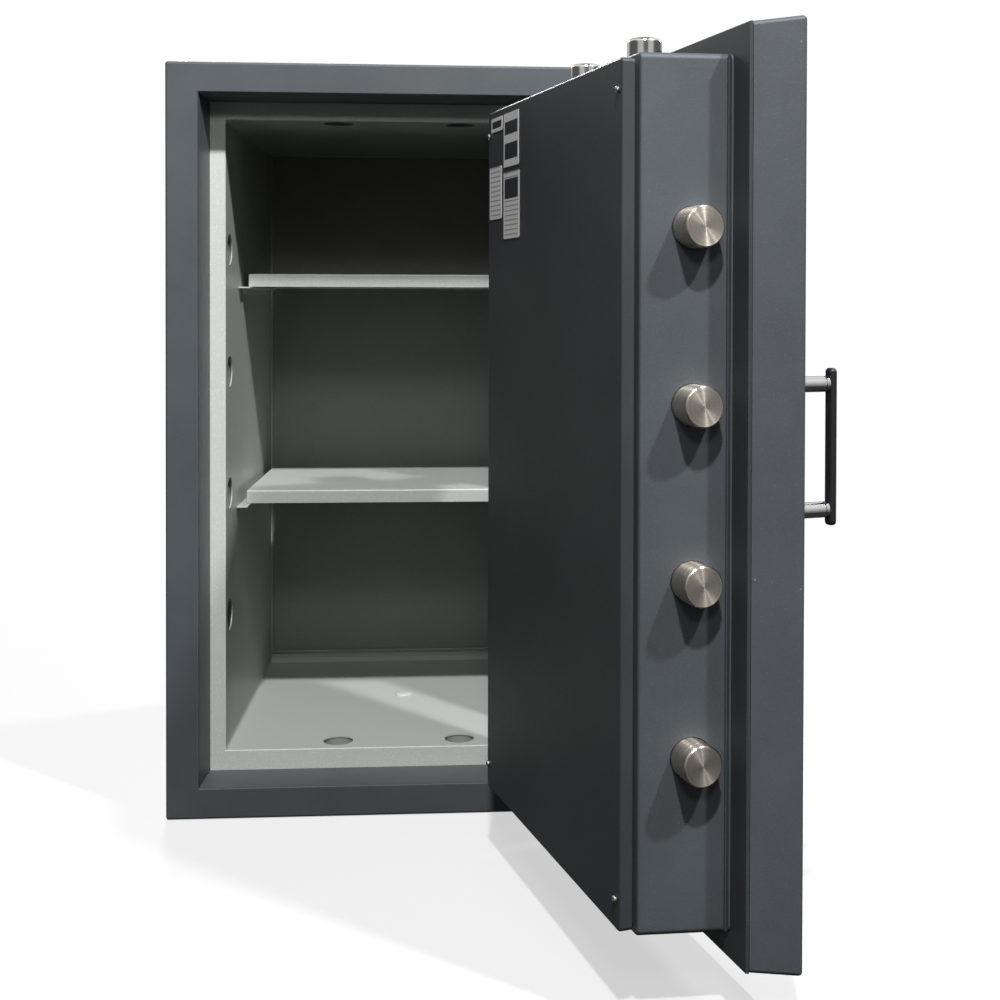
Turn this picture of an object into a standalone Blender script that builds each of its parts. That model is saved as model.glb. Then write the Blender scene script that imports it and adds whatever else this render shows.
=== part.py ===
"""A fire resisting gun safe with its door standing open: body, two shelves, boltwork door."""

import math

import bmesh
import bpy
from mathutils import Matrix, Vector

# ---- overall sizes, metres; front faces -Y, hinges on the +X side, base on Z = 0 ----
BODY_W = 0.600
BODY_H = 0.950
BODY_D = 0.560
GAP = 0.0003  # working gap between neighbouring solids

# ---- body ----
SHELL_T = 0.004  # outer sheet
FRONT_T = 0.005  # front border plate
SIDE_BORDER = 0.0405
TOP_BORDER = 0.0375
BOTTOM_BORDER = 0.0385
JAMB_D = 0.057  # front face to flange face
JAMB_T = 0.003
JAMB_TAPER = 0.0050
FLANGE_SIDE = 0.0198
FLANGE_TOP = 0.0227
FLANGE_BOTTOM = 0.0252
LINER_T = 0.002
INNER_D = 0.440  # flange face to inside back
SHELL_EDGE = 0.0025

# ---- inside fittings ----
PANEL_T = 0.008
PANEL_FOOT = 0.019
PANEL_SIDE = 0.0022
SHELF_H = 0.0180
SHELF_T = 0.002
SHELF_SIDE_GAP = 0.0097
SHELF_UP_ROOM = 0.1958  # shelf top below the lining roof
SHELF_LO_RISE = 0.3228  # shelf top above the lining floor
SHELF_UP_SETBACK = 0.130
SHELF_LO_SETBACK = 0.110
SHELF_D = 0.263
RUNNER_W = 0.0150
RUNNER_T = 0.002
RUNNER_DROP = 0.010
RUNNER_LEAD = 0.026  # stands ahead of the shelf front
RUNNER_BACK = 0.030
PLUG_R = 0.0125
PLUG_X = -0.0154
PLUG_BACK = 0.247  # behind the flange face

# ---- hinge ----
PIVOT_SIDE = 0.0315  # hinge axis in from the body side
PIVOT_OUT = 0.036  # in front of the front face
OPEN_DEG = 105.7
BARREL_R = 0.0155
BARREL_H = 0.036  # one knuckle
PIN_R = 0.0070
PIN_FIT = 0.0004
PIN_HEAD_R = 0.0100
PIN_HEAD_H = 0.005
LEAF_W = 0.027
DOOR_LEAF_W = 0.080
HINGE_FOOT = 0.180  # lower hinge foot above the base
HINGE_HEAD = 0.195  # upper hinge foot below the top

# ---- door slab ----
DOOR_LEFT_GAP = 0.0055
DOOR_RIGHT_GAP = 0.0055
DOOR_TOP_GAP = 0.0045
DOOR_BOTTOM_GAP = 0.0080
SLAB_D = 0.0539
SKIN_T = 0.004
BACK_PLATE_T = 0.0035
SLAB_TAPER_OPEN = 0.0095
SLAB_TAPER_HINGE = 0.0060
SLAB_TAPER_END = 0.0080
SLAB_EDGE = 0.004

# ---- bolt box on the inside of the door ----
BOX_OPEN_INSET = 0.0299  # from slab inner edge, opening side
BOX_HINGE_INSET = 0.0300
BOX_BEVEL_DEG = 13.4
BOX_D = 0.0830
BOX_T = 0.003
BOX_END_INSET = 0.0235
BOX_LIP = 0.014
BOX_EDGE = 0.005
SPACER_T = 0.0040
SPACER_INSET = 0.0050
COVER_D = 0.0125
COVER_T = 0.002
COVER_INSET = 0.0015
COVER_END_INSET = 0.0055
COVER_EDGE = 0.006
SCREW_R = 0.0035
SCREW_HEAD_H = 0.003
SCREW_SHANK_R = 0.0020
SCREW_HOLE_R = 0.0026
SCREW_EDGE = 0.0078
SCREW_END = 0.0285

# ---- boltwork ----
BOLT_R = 0.019
END_BOLT_R = 0.017
BOLT_FIT = 0.0006
BOLT_EDGE = 0.0012
BOLT_BACK = 0.0355  # bolt line behind the slab inner face
BOLT_N = 4
BOLT_FOOT = 0.1610  # first bolt above the lower box edge
BOLT_HEAD = 0.1575  # last bolt below the upper box edge
BOLT_OUT = 0.0250  # bolt stands out of the box face
TOP_BOLT_OUT = 0.0308
BOTTOM_BOLT_OUT = -0.0005
END_BOLT_X = (-0.0930, 0.0670)
BOLT_L = 0.072
BAR_T = 0.008
BAR_W = 0.034
BAR_END = 0.030
END_BAR_L = 0.215
POCKET_R = 0.0205
END_POCKET_R = 0.0195
POCKET_D = 0.026
TOP_POCKET_D = 0.044
DEAD_BAR_OUT = 0.0240
DEAD_BAR_D = 0.022
DEAD_BAR_BACK = 0.0090
DEAD_BAR_FOOT = 0.1320
DEAD_BAR_HEAD = 0.1285
DEAD_SLOT_FIT = 0.004
CAM_R = 0.040
CAM_T = 0.006

# ---- handle, dial and lock ----
SPINDLE_R = 0.0080
SPINDLE_HOLE_R = 0.0086
HANDLE_X = 0.030
HANDLE_RISE = 0.4235  # above the lower slab edge
ROSE_R = 0.030
ROSE_T = 0.007
HUB_R = 0.014
HUB_H = 0.024
LEVER_L = 0.120
LEVER_R = 0.0075
DIAL_X = 0.030
DIAL_RISE = 0.170  # above the handle
DIAL_R = 0.036
DIAL_H = 0.010
KNOB_R = 0.018
KNOB_H = 0.020
RING_R = 0.046
RING_T = 0.006
DIAL_SPINDLE_R = 0.0040
DIAL_HOLE_R = 0.0046
LOCK_W = 0.065
LOCK_H = 0.085
LOCK_D = 0.028
LOCK_T = 0.003
LOCK_BOLT_W = 0.022
LOCK_BOLT_D = 0.010
LOCK_BOLT_L = 0.030
LOCK_BOLT_OUT = 0.010

# ---- pull handle near the opening edge ----
PULL_EDGE = 0.0528  # in from the opening edge of the slab
PULL_RISE = 0.4700  # above the lower slab edge
PULL_H = 0.148
PULL_W = 0.012
PULL_T = 0.0075
PULL_PROUD = 0.0595
POST_R = 0.0075
POST_END = 0.015

# ---- stickers on the cover ----
STICKER_T = 0.0004
STICKERS = (  # in from the hinge side edge, foot below the top edge, width, height
    (0.0610, 0.0690, 0.0540, 0.0600),
    (0.0610, 0.1490, 0.0560, 0.0740),
    (0.0140, 0.0250, 0.0420, 0.0160),
    (0.0080, 0.1250, 0.0450, 0.0600),
)

ROUND = 40
SMALL_ROUND = 16

FRONT_Y = -BODY_D / 2
FLANGE_Y = FRONT_Y + JAMB_D
BACK_Y = FLANGE_Y + INNER_D
LEFT = -BODY_W / 2
OPEN_X0, OPEN_X1 = LEFT + SIDE_BORDER, -LEFT - SIDE_BORDER
OPEN_Z0, OPEN_Z1 = BOTTOM_BORDER, BODY_H - TOP_BORDER
IN_X0 = OPEN_X0 + JAMB_TAPER + FLANGE_SIDE
IN_X1 = -IN_X0
IN_Z0 = OPEN_Z0 + JAMB_TAPER + FLANGE_BOTTOM
IN_Z1 = OPEN_Z1 - JAMB_TAPER - FLANGE_TOP
SHELF_UP_TOP = IN_Z1 - SHELF_UP_ROOM
SHELF_LO_TOP = IN_Z0 + SHELF_LO_RISE
PIVOT_X = -LEFT - PIVOT_SIDE
PIVOT = Vector((PIVOT_X, FRONT_Y - PIVOT_OUT, 0.0))
HINGE_Z = (HINGE_FOOT, BODY_H - HINGE_HEAD)

SLAB_X0, SLAB_X1 = OPEN_X0 + DOOR_LEFT_GAP, OPEN_X1 - DOOR_RIGHT_GAP
SLAB_Z0, SLAB_Z1 = OPEN_Z0 + DOOR_BOTTOM_GAP, OPEN_Z1 - DOOR_TOP_GAP
SLAB_Y0, SLAB_Y1 = FRONT_Y, FRONT_Y + SLAB_D
BOX_Y0, BOX_Y1 = SLAB_Y1 + GAP, SLAB_Y1 + GAP + BOX_D
BOX_SLOPE = math.tan(math.radians(BOX_BEVEL_DEG))
BOX_X0 = SLAB_X0 + SLAB_TAPER_OPEN + BOX_OPEN_INSET
BOX_X1 = SLAB_X1 - SLAB_TAPER_HINGE - BOX_HINGE_INSET
BOX_Z0 = SLAB_Z0 + SLAB_TAPER_END + BOX_END_INSET
BOX_Z1 = SLAB_Z1 - SLAB_TAPER_END - BOX_END_INSET
COVER_Y0 = BOX_Y1 + SPACER_T + GAP
COVER_Y1 = COVER_Y0 + COVER_D
COVER_X0 = BOX_X0 + BOX_SLOPE * (COVER_Y0 - BOX_Y0) + COVER_INSET
COVER_X1 = BOX_X1 - COVER_INSET
COVER_Z0, COVER_Z1 = BOX_Z0 + COVER_END_INSET, BOX_Z1 - COVER_END_INSET
BOLT_Y = SLAB_Y1 + BOLT_BACK
BOLT_STEP = (BOX_Z1 - BOLT_HEAD - BOX_Z0 - BOLT_FOOT) / (BOLT_N - 1)
BOLT_Z = tuple(BOX_Z0 + BOLT_FOOT + BOLT_STEP * i for i in range(BOLT_N))
DEAD_BAR_Z = (BOX_Z0 + DEAD_BAR_FOOT, BOX_Z1 - DEAD_BAR_HEAD)
HANDLE_Z = SLAB_Z0 + HANDLE_RISE
DIAL_Z = HANDLE_Z + DIAL_RISE
PULL_X = SLAB_X0 + PULL_EDGE
PULL_Z = SLAB_Z0 + PULL_RISE
BOLT_TIP = BOX_X0 + BOX_SLOPE * (BOLT_Y - BOX_Y0) - BOLT_OUT


class Rig:
    """Holds the collections, the finishes and the moving frames."""

    def __init__(self):
        for ob in list(bpy.data.objects):
            bpy.data.objects.remove(ob)
        self.parts = bpy.data.collections.new("gun_safe")
        self.cutters = bpy.data.collections.new("cutters")
        for c in (self.parts, self.cutters):
            bpy.context.scene.collection.children.link(c)
        self.cutters.hide_render = True
        self.mats = {}
        self.door = self.empty("door_axis", PIVOT, OPEN_DEG)

    def empty(self, name, at, turn):
        ob = bpy.data.objects.new(name, None)
        ob.location = at
        ob.rotation_euler = (0, 0, math.radians(turn))
        self.parts.objects.link(ob)
        return ob

    def mat(self, name, rgb, rough, metal):
        if name not in self.mats:
            m = bpy.data.materials.new(name)
            m.use_nodes = True
            b = m.node_tree.nodes["Principled BSDF"]
            b.inputs["Base Color"].default_value = (*rgb, 1)
            b.inputs["Roughness"].default_value = rough
            b.inputs["Metallic"].default_value = metal
            m.diffuse_color = (*rgb, 1)
            self.mats[name] = m
        return self.mats[name]

    def add(self, name, bm, mat=None, origin=(0, 0, 0), door=False, smooth=False):
        """Make an object of bm (closed-door coordinates), its origin at the given point."""
        origin = Vector(origin)
        bmesh.ops.translate(bm, verts=bm.verts, vec=-origin)
        bmesh.ops.recalc_face_normals(bm, faces=bm.faces)
        me = bpy.data.meshes.new(name)
        bm.to_mesh(me)
        bm.free()
        if smooth:
            me.shade_smooth()
            me.set_sharp_from_angle(angle=math.radians(35))
        ob = bpy.data.objects.new(name, me)
        ob.location = origin - (PIVOT if door else Vector())
        if door:
            ob.parent = self.door
        if mat:
            me.materials.append(mat)
            self.parts.objects.link(ob)
        else:
            ob.display_type = "WIRE"
            self.cutters.objects.link(ob)
        return ob

    # -- primitives --
    def box(self, name, lo, hi, mat=None, **kw):
        bm = bmesh.new()
        bmesh.ops.create_cube(bm, size=1)
        mid = (Vector(lo) + Vector(hi)) / 2
        size = Vector(hi) - Vector(lo)
        bmesh.ops.scale(bm, verts=bm.verts, vec=size)
        bmesh.ops.translate(bm, verts=bm.verts, vec=mid)
        return self.add(name, bm, mat, **kw)

    def wedge(self, name, y0, a, y1, b, mat=None, **kw):
        """A box whose front (y0) and rear (y1) rectangles a and b = x0, x1, z0, z1 differ."""
        bm = bmesh.new()
        bmesh.ops.create_cube(bm, size=1)
        for v in bm.verts:
            y, r = (y0, a) if v.co.y < 0 else (y1, b)
            v.co = Vector((r[0] if v.co.x < 0 else r[1], y, r[2] if v.co.z < 0 else r[3]))
        return self.add(name, bm, mat, **kw)

    def rod(self, name, at, axis, r, length, mat=None, n=ROUND, r2=None, **kw):
        """A cylinder starting at a point and running along axis."""
        bm = bmesh.new()
        top = r if r2 is None else r2
        bmesh.ops.create_cone(bm, cap_ends=True, segments=n, radius1=r, radius2=top, depth=length)
        bmesh.ops.translate(bm, verts=bm.verts, vec=(0, 0, length / 2))
        turn = Vector((0, 0, 1)).rotation_difference(Vector(axis)).to_matrix().to_4x4()
        bmesh.ops.transform(bm, matrix=Matrix.Translation(at) @ turn, verts=bm.verts)
        return self.add(name, bm, mat, smooth=True, **kw)

    # -- modifiers --
    def cut(self, ob, tool, mode="DIFFERENCE"):
        m = ob.modifiers.new(tool.name, "BOOLEAN")
        m.operation = mode
        m.solver = "EXACT"
        m.object = tool
        return ob

    def bevel(self, ob, width, segments=2, angle=40):
        m = ob.modifiers.new("edge", "BEVEL")
        m.width = width
        m.segments = segments
        m.limit_method = "ANGLE"
        m.angle_limit = math.radians(angle)
        return ob


def finishes(rig):
    return {
        "coat": rig.mat("charcoal_coat", (0.075, 0.085, 0.095), 0.55, 0.0),
        "dark": rig.mat("dark_coat", (0.045, 0.048, 0.05), 0.6, 0.0),
        "grey": rig.mat("light_grey_paint", (0.52, 0.52, 0.50), 0.45, 0.0),
        "fill": rig.mat("fire_fill", (0.55, 0.53, 0.49), 0.95, 0.0),
        "steel": rig.mat("brushed_steel", (0.62, 0.61, 0.58), 0.3, 1.0),
        "plate": rig.mat("zinc_plate", (0.55, 0.55, 0.53), 0.4, 1.0),
        "chrome": rig.mat("chrome", (0.8, 0.8, 0.8), 0.1, 1.0),
        "black": rig.mat("black_paint", (0.02, 0.02, 0.022), 0.4, 0.0),
        "rubber": rig.mat("black_rubber", (0.02, 0.02, 0.02), 0.85, 0.0),
        "paper": rig.mat("sticker", (0.75, 0.75, 0.74), 0.6, 0.0),
        "brass": rig.mat("brass", (0.6, 0.45, 0.2), 0.35, 1.0),
    }


def grown(rect, d):
    return rect[0] - d, rect[1] + d, rect[2] - d, rect[3] + d


def taper_rect(rect, d):
    return rect[0] + d, rect[1] - d, rect[2] + d, rect[3] - d


OPENING = (OPEN_X0, OPEN_X1, OPEN_Z0, OPEN_Z1)
THROAT = taper_rect(OPENING, JAMB_TAPER)
INSIDE = (IN_X0, IN_X1, IN_Z0, IN_Z1)


def throat_rect(y, d=0.0):
    """The tapered door opening at depth y, grown outwards by d."""
    return grown(taper_rect(OPENING, (y - FRONT_Y) / JAMB_D * JAMB_TAPER), d)


def body_shell(rig, fin):
    shell = rig.box("body_shell", (LEFT, FRONT_Y, 0), (-LEFT, -FRONT_Y, BODY_H), fin["coat"])
    rig.bevel(shell, SHELL_EDGE, 2)
    t = SHELL_T
    room = rig.box(
        "shell_room",
        (LEFT + t, FRONT_Y + FRONT_T, t),
        (-LEFT - t, -FRONT_Y - t, BODY_H - t),
    )
    rig.cut(shell, room)
    y0, y1 = FRONT_Y - 0.01, FRONT_Y + FRONT_T + 0.01
    mouth = rig.wedge("shell_mouth", y0, throat_rect(y0), y1, throat_rect(y1))
    rig.cut(shell, mouth)


def door_jamb(rig, fin):
    y0, y1 = FRONT_Y + FRONT_T + GAP, FLANGE_Y - GAP
    jamb = rig.wedge(
        "door_jamb", y0, throat_rect(y0, JAMB_T), y1, throat_rect(y1, JAMB_T), fin["coat"]
    )
    y0, y1 = y0 - 0.01, y1 + 0.01
    rig.cut(jamb, rig.wedge("jamb_hole", y0, throat_rect(y0), y1, throat_rect(y1)))


def pocket_cutters(rig, tag, r_add, depth_add):
    """Rods through the liner wall at every live bolt."""
    out = []
    for i, z in enumerate(BOLT_Z):
        at = (IN_X0 + 0.004, BOLT_Y, z)
        rod = rig.rod(f"{tag}_side_{i}", at, (-1, 0, 0), POCKET_R + r_add, POCKET_D + depth_add)
        out.append(rod)
    for i, x in enumerate(END_BOLT_X):
        for end, z, s, d in (("top", IN_Z1, 1, TOP_POCKET_D), ("bottom", IN_Z0, -1, POCKET_D)):
            at = (x, BOLT_Y, z - 0.004 * s)
            r = END_POCKET_R + r_add
            out.append(rig.rod(f"{tag}_{end}_{i}", at, (0, 0, s), r, d + depth_add))
    return out


def dead_slot(rig, name, add):
    f = DEAD_SLOT_FIT + add
    y0 = SLAB_Y1 + DEAD_BAR_BACK - f
    lo = (IN_X1 - 0.004, max(y0, FLANGE_Y + LINER_T + 0.0015 - add), DEAD_BAR_Z[0] - f)
    hi = (
        BOX_X1 + DEAD_BAR_OUT + f,
        SLAB_Y1 + DEAD_BAR_BACK + DEAD_BAR_D + f,
        DEAD_BAR_Z[1] + f,
    )
    return rig.box(name, lo, hi)


def liner(rig, fin):
    """The light sheet lining: a front flange and one sheet per wall, the back one with a raised panel."""
    t = LINER_T
    rim = grown(THROAT, JAMB_T)
    flange = rig.wedge("liner_flange", FLANGE_Y, rim, FLANGE_Y + t, rim, fin["grey"])
    rig.cut(flange, rig.wedge("flange_hole", FLANGE_Y - 0.01, INSIDE, FLANGE_Y + 0.01, INSIDE))
    y0, y1 = FLANGE_Y + t + GAP, BACK_Y
    x, z0, z1 = IN_X1, IN_Z0, IN_Z1
    walls = {
        "side": rig.box("liner_left", (-x - t, y0, z0), (-x, y1, z1), fin["grey"]),
        "right": rig.box("liner_right", (x, y0, z0), (x + t, y1, z1), fin["grey"]),
        "top": rig.box("liner_top", (-x - t, y0, z1 + GAP), (x + t, y1, z1 + t + GAP), fin["grey"]),
        "bottom": rig.box("liner_floor", (-x - t, y0, z0 - t - GAP), (x + t, y1, z0 - GAP), fin["grey"]),
    }
    for tool in pocket_cutters(rig, "liner_hole", 0, 0):
        rig.cut(walls[tool.name.split("_")[2]], tool)
    rig.cut(walls["right"], dead_slot(rig, "liner_slot", 0))
    at = (PLUG_X, FLANGE_Y + PLUG_BACK, IN_Z0 + 0.005)
    rig.cut(walls["bottom"], rig.rod("liner_plug_hole", at, (0, 0, -1), PLUG_R * 0.7, 0.02))
    back = rig.box(
        "liner_back", (-x - t, BACK_Y + GAP, z0 - t), (x + t, BACK_Y + GAP + t, z1 + t), fin["grey"]
    )
    panel = rig.box(
        "back_panel",
        (-x + PANEL_SIDE, BACK_Y - PANEL_T, z0 + PANEL_FOOT),
        (x - PANEL_SIDE, BACK_Y + GAP + t / 2, z1 - PANEL_SIDE),
    )
    rig.cut(back, panel, "UNION")


def fire_fill(rig, fin):
    g = SHELL_T + GAP
    ob = rig.box(
        "body_fire_fill",
        (LEFT + g, FRONT_Y + FRONT_T + GAP, g),
        (-LEFT - g, -FRONT_Y - g, BODY_H - g),
        fin["fill"],
    )
    rim = grown(THROAT, JAMB_T + GAP)
    y0, t = FRONT_Y - 0.01, JAMB_T + GAP
    rig.cut(ob, rig.wedge("fill_throat", y0, throat_rect(y0, t), FLANGE_Y, throat_rect(FLANGE_Y, t)))
    flange_y = FLANGE_Y + LINER_T + GAP
    rig.cut(ob, rig.wedge("fill_flange", FLANGE_Y - 0.001, rim, flange_y, rim))
    room = grown(INSIDE, LINER_T + 2 * GAP)
    back = BACK_Y + LINER_T + 2 * GAP
    rig.cut(ob, rig.wedge("fill_room", FLANGE_Y, room, back, room))
    for tool in pocket_cutters(rig, "fill_hole", 0.0010, 0.001):
        rig.cut(ob, tool)
    rig.cut(ob, dead_slot(rig, "fill_slot", 0.001))
    at = (PLUG_X, FLANGE_Y + PLUG_BACK, IN_Z0 + 0.005)
    rig.cut(ob, rig.rod("fill_plug_hole", at, (0, 0, -1), PLUG_R * 0.7, 0.022))


def shelf(rig, fin, name, top, setback):
    x = IN_X1 - SHELF_SIDE_GAP
    y0 = FLANGE_Y + setback
    y1 = y0 + SHELF_D
    lo, hi = Vector((-x, y0, top - SHELF_H)), Vector((x, y1, top))
    ob = rig.box(name, lo, hi, fin["grey"])
    rig.bevel(ob, 0.0012, 2)
    t = SHELF_T
    tray = rig.box(
        f"{name}_tray",
        lo + Vector((t, t, -0.01)),
        hi - Vector((t, t, t)),
    )
    rig.cut(ob, tray)
    for side, s in (("left", -1), ("right", 1)):
        runner(rig, fin, f"{name}_runner_{side}", s, y0 - RUNNER_LEAD, y1 - RUNNER_BACK, top - SHELF_H)


def runner(rig, fin, name, side, y0, y1, z):
    """An angle runner on the side wall that carries one side of a shelf."""
    wall = side * (IN_X1 - GAP)
    lip = wall - side * RUNNER_W
    xs = sorted((wall, lip))
    ob = rig.box(name, (xs[0], y0, z - GAP - RUNNER_DROP), (xs[1], y1, z - GAP), fin["grey"])
    xs = sorted((wall - side * RUNNER_T, lip - side * 0.01))
    tool = rig.box(
        f"{name}_cut",
        (xs[0], y0 - 0.01, z - GAP - RUNNER_DROP - 0.01),
        (xs[1], y1 + 0.01, z - GAP - RUNNER_T),
    )
    rig.cut(ob, tool)


def floor_plug(rig, fin):
    at = Vector((PLUG_X, FLANGE_Y + PLUG_BACK, IN_Z0))
    ob = rig.rod("floor_plug", at, (0, 0, 1), PLUG_R, 0.003, fin["black"], n=24)
    stem = rig.rod("floor_plug_stem", at + Vector((0, 0, 0.001)), (0, 0, -1), PLUG_R * 0.6, 0.011, n=24)
    rig.cut(ob, stem, "UNION")


def hinge(rig, fin, tag, z):
    """A lift-off barrel hinge: body knuckle below, door knuckle above, one pin."""
    p = Vector((PIVOT.x, PIVOT.y, z))
    body = rig.rod(f"hinge_{tag}_body", p, (0, 0, 1), BARREL_R, BARREL_H, fin["coat"], n=32)
    leaf = rig.box(
        f"hinge_{tag}_body_leaf",
        (p.x, p.y, z),
        (p.x + LEAF_W, FRONT_Y - GAP, z + BARREL_H),
    )
    rig.cut(body, leaf, "UNION")
    up = z + BARREL_H + 2 * GAP
    at = Vector((p.x, p.y, up))
    door = rig.rod(
        f"hinge_{tag}_door", at, (0, 0, 1), BARREL_R, BARREL_H, fin["coat"], n=32, origin=at, door=True
    )
    flap = rig.box(
        f"hinge_{tag}_door_leaf",
        (p.x - DOOR_LEAF_W, p.y, up),
        (p.x, SLAB_Y0 - GAP, up + BARREL_H),
        door=True,
    )
    rig.cut(door, flap, "UNION")
    low = p - Vector((0, 0, 0.01))
    rig.cut(body, rig.rod(f"hinge_{tag}_bore_b", low, (0, 0, 1), PIN_R + PIN_FIT, 0.2, n=24))
    rig.cut(door, rig.rod(f"hinge_{tag}_bore_d", low, (0, 0, 1), PIN_R + PIN_FIT, 0.2, n=24, door=True))
    foot = p - Vector((0, 0, GAP + PIN_HEAD_H))
    pin = rig.rod(
        f"hinge_{tag}_pin", foot, (0, 0, 1), PIN_HEAD_R, PIN_HEAD_H, fin["steel"], n=24, origin=p
    )
    stem_l = 2 * BARREL_H + 0.001 + GAP
    stem = rig.rod(f"hinge_{tag}_pin_stem", p - Vector((0, 0, 0.002)), (0, 0, 1), PIN_R, stem_l, n=24)
    rig.cut(pin, stem, "UNION")


def slab_rect(back=False, d=0.0):
    """The slab outline on its outer face or its inner face, d further in."""
    a = SLAB_TAPER_OPEN if back else 0.0
    b = SLAB_TAPER_HINGE if back else 0.0
    c = SLAB_TAPER_END if back else 0.0
    return SLAB_X0 + a + d, SLAB_X1 - b - d, SLAB_Z0 + c + d, SLAB_Z1 - c - d


def spindle_hole(rig, name, x, z, r, y0, y1):
    return rig.rod(name, (x, y0, z), (0, 1, 0), r, y1 - y0, n=24, door=True)


def slab(rig, fin):
    y1 = SLAB_Y1 - BACK_PLATE_T - GAP
    k = (y1 - SLAB_Y0) / SLAB_D
    back = [a + (b - a) * k for a, b in zip(slab_rect(), slab_rect(True))]
    ob = rig.wedge("door_skin", SLAB_Y0, slab_rect(), y1, back, fin["coat"], door=True)
    rig.bevel(ob, SLAB_EDGE, 2)
    t = SKIN_T
    room_back = taper_rect(back, t - 0.0002)
    room = rig.wedge(
        "skin_room", SLAB_Y0 + t, taper_rect(slab_rect(), t), y1 + 0.003, room_back, door=True
    )
    rig.cut(ob, room)
    fill = rig.wedge(
        "door_fire_fill",
        SLAB_Y0 + t + GAP,
        taper_rect(slab_rect(), t + 0.0012),
        y1 - 0.0002,
        taper_rect(back, t + 0.0012),
        fin["fill"],
        door=True,
    )
    plate = rig.wedge(
        "door_back_plate",
        SLAB_Y1 - BACK_PLATE_T,
        back,
        SLAB_Y1,
        slab_rect(True),
        fin["dark"],
        door=True,
    )
    for ob in (ob, fill, plate):
        for tag, x, z, r in (
            ("handle", HANDLE_X, HANDLE_Z, SPINDLE_HOLE_R),
            ("dial", DIAL_X, DIAL_Z, DIAL_HOLE_R),
        ):
            name = f"{ob.name}_{tag}_hole"
            rig.cut(ob, spindle_hole(rig, name, x, z, r, SLAB_Y0 - 0.01, SLAB_Y1 + 0.01))


def box_rect(y, d=0.0):
    """The bolt box outline at a given depth, d further in."""
    x0 = BOX_X0 + BOX_SLOPE * (y - BOX_Y0)
    return x0 + d, BOX_X1 - d, BOX_Z0 + d, BOX_Z1 - d


def screw_points():
    xs = (COVER_X0 + SCREW_EDGE, COVER_X1 - SCREW_EDGE)
    return [(x, z) for x in xs for z in (COVER_Z0 + SCREW_END, COVER_Z1 - SCREW_END)]


def bolt_box(rig, fin):
    ob = rig.wedge(
        "bolt_box", BOX_Y0, box_rect(BOX_Y0), BOX_Y1, box_rect(BOX_Y1), fin["coat"], door=True
    )
    rig.bevel(ob, BOX_EDGE, 2)
    y0, y1 = BOX_Y0 - 0.01, BOX_Y1 - BOX_T
    room = rig.wedge("box_room", y0, box_rect(y0, BOX_T), y1, box_rect(y1, BOX_T), door=True)
    rig.cut(ob, room)
    win = box_rect(BOX_Y1, BOX_LIP + BOX_T)
    rig.cut(ob, rig.wedge("box_window", BOX_Y1 - 0.02, win, BOX_Y1 + 0.01, win, door=True))
    for i, z in enumerate(BOLT_Z):
        at = (BOX_X0 - 0.01, BOLT_Y, z)
        tool = rig.rod(f"box_side_hole_{i}", at, (1, 0, 0), BOLT_R + BOLT_FIT, 0.05, door=True)
        rig.cut(ob, tool)
    for i, x in enumerate(END_BOLT_X):
        for tag, z in (("top", BOX_Z1 - 0.01), ("bottom", BOX_Z0 - 0.01)):
            r = END_BOLT_R + BOLT_FIT
            tool = rig.rod(f"box_{tag}_hole_{i}", (x, BOLT_Y, z), (0, 0, 1), r, 0.02, door=True)
            rig.cut(ob, tool)
    for i, (x, z) in enumerate(screw_points()):
        at = (x, BOX_Y1 - 0.01, z)
        tool = rig.rod(f"box_screw_{i}", at, (0, 1, 0), SCREW_HOLE_R, 0.02, n=SMALL_ROUND, door=True)
        rig.cut(ob, tool)
    bar = rig.box(
        "dead_bar",
        (BOX_X1 + GAP, SLAB_Y1 + DEAD_BAR_BACK, DEAD_BAR_Z[0]),
        (BOX_X1 + DEAD_BAR_OUT, SLAB_Y1 + DEAD_BAR_BACK + DEAD_BAR_D, DEAD_BAR_Z[1]),
        fin["coat"],
        door=True,
    )
    rig.bevel(bar, 0.002, 2)


def cover(rig, fin):
    rect = (COVER_X0, COVER_X1, COVER_Z0, COVER_Z1)
    seat = taper_rect(rect, SPACER_INSET)
    ring = rig.wedge(
        "cover_spacer", BOX_Y1 + GAP, seat, COVER_Y0 - GAP, seat, fin["rubber"], door=True
    )
    inner = taper_rect(seat, 0.010)
    rig.cut(ring, rig.wedge("spacer_hole", BOX_Y1 - 0.01, inner, COVER_Y0 + 0.01, inner, door=True))
    pan = rig.wedge("bolt_cover", COVER_Y0, rect, COVER_Y1, rect, fin["dark"], door=True)
    rig.bevel(pan, COVER_EDGE / 3, 2)
    t = COVER_T
    room = taper_rect(rect, SPACER_INSET + 0.011)
    rig.cut(pan, rig.wedge("cover_room", COVER_Y0 - 0.01, room, COVER_Y1 - t, room, door=True))
    for i, (x, z) in enumerate(screw_points()):
        for ob in (ring, pan):
            at = (x, BOX_Y1 - 0.01, z)
            name = f"{ob.name}_screw_hole_{i}"
            rig.cut(ob, rig.rod(name, at, (0, 1, 0), SCREW_HOLE_R, 0.05, n=SMALL_ROUND, door=True))
        head = Vector((x, COVER_Y1 + GAP, z))
        screw = rig.rod(
            f"cover_screw_{i + 1}", head, (0, 1, 0), SCREW_R, SCREW_HEAD_H, fin["chrome"],
            n=SMALL_ROUND, door=True,
        )
        length = COVER_D + SPACER_T + BOX_T + 0.004
        shank = rig.rod(
            f"cover_shank_{i}", head + Vector((0, 0.001, 0)), (0, -1, 0), SCREW_SHANK_R, length,
            n=SMALL_ROUND, door=True,
        )
        rig.cut(screw, shank, "UNION")
    for i, (s, drop, w, h) in enumerate(STICKERS):
        x1, z = COVER_X1 - s, COVER_Z1 - drop
        y = COVER_Y1 + GAP
        rig.box(f"sticker_{i + 1}", (x1 - w, y, z), (x1, y + STICKER_T, z + h), fin["paper"], door=True)


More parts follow.
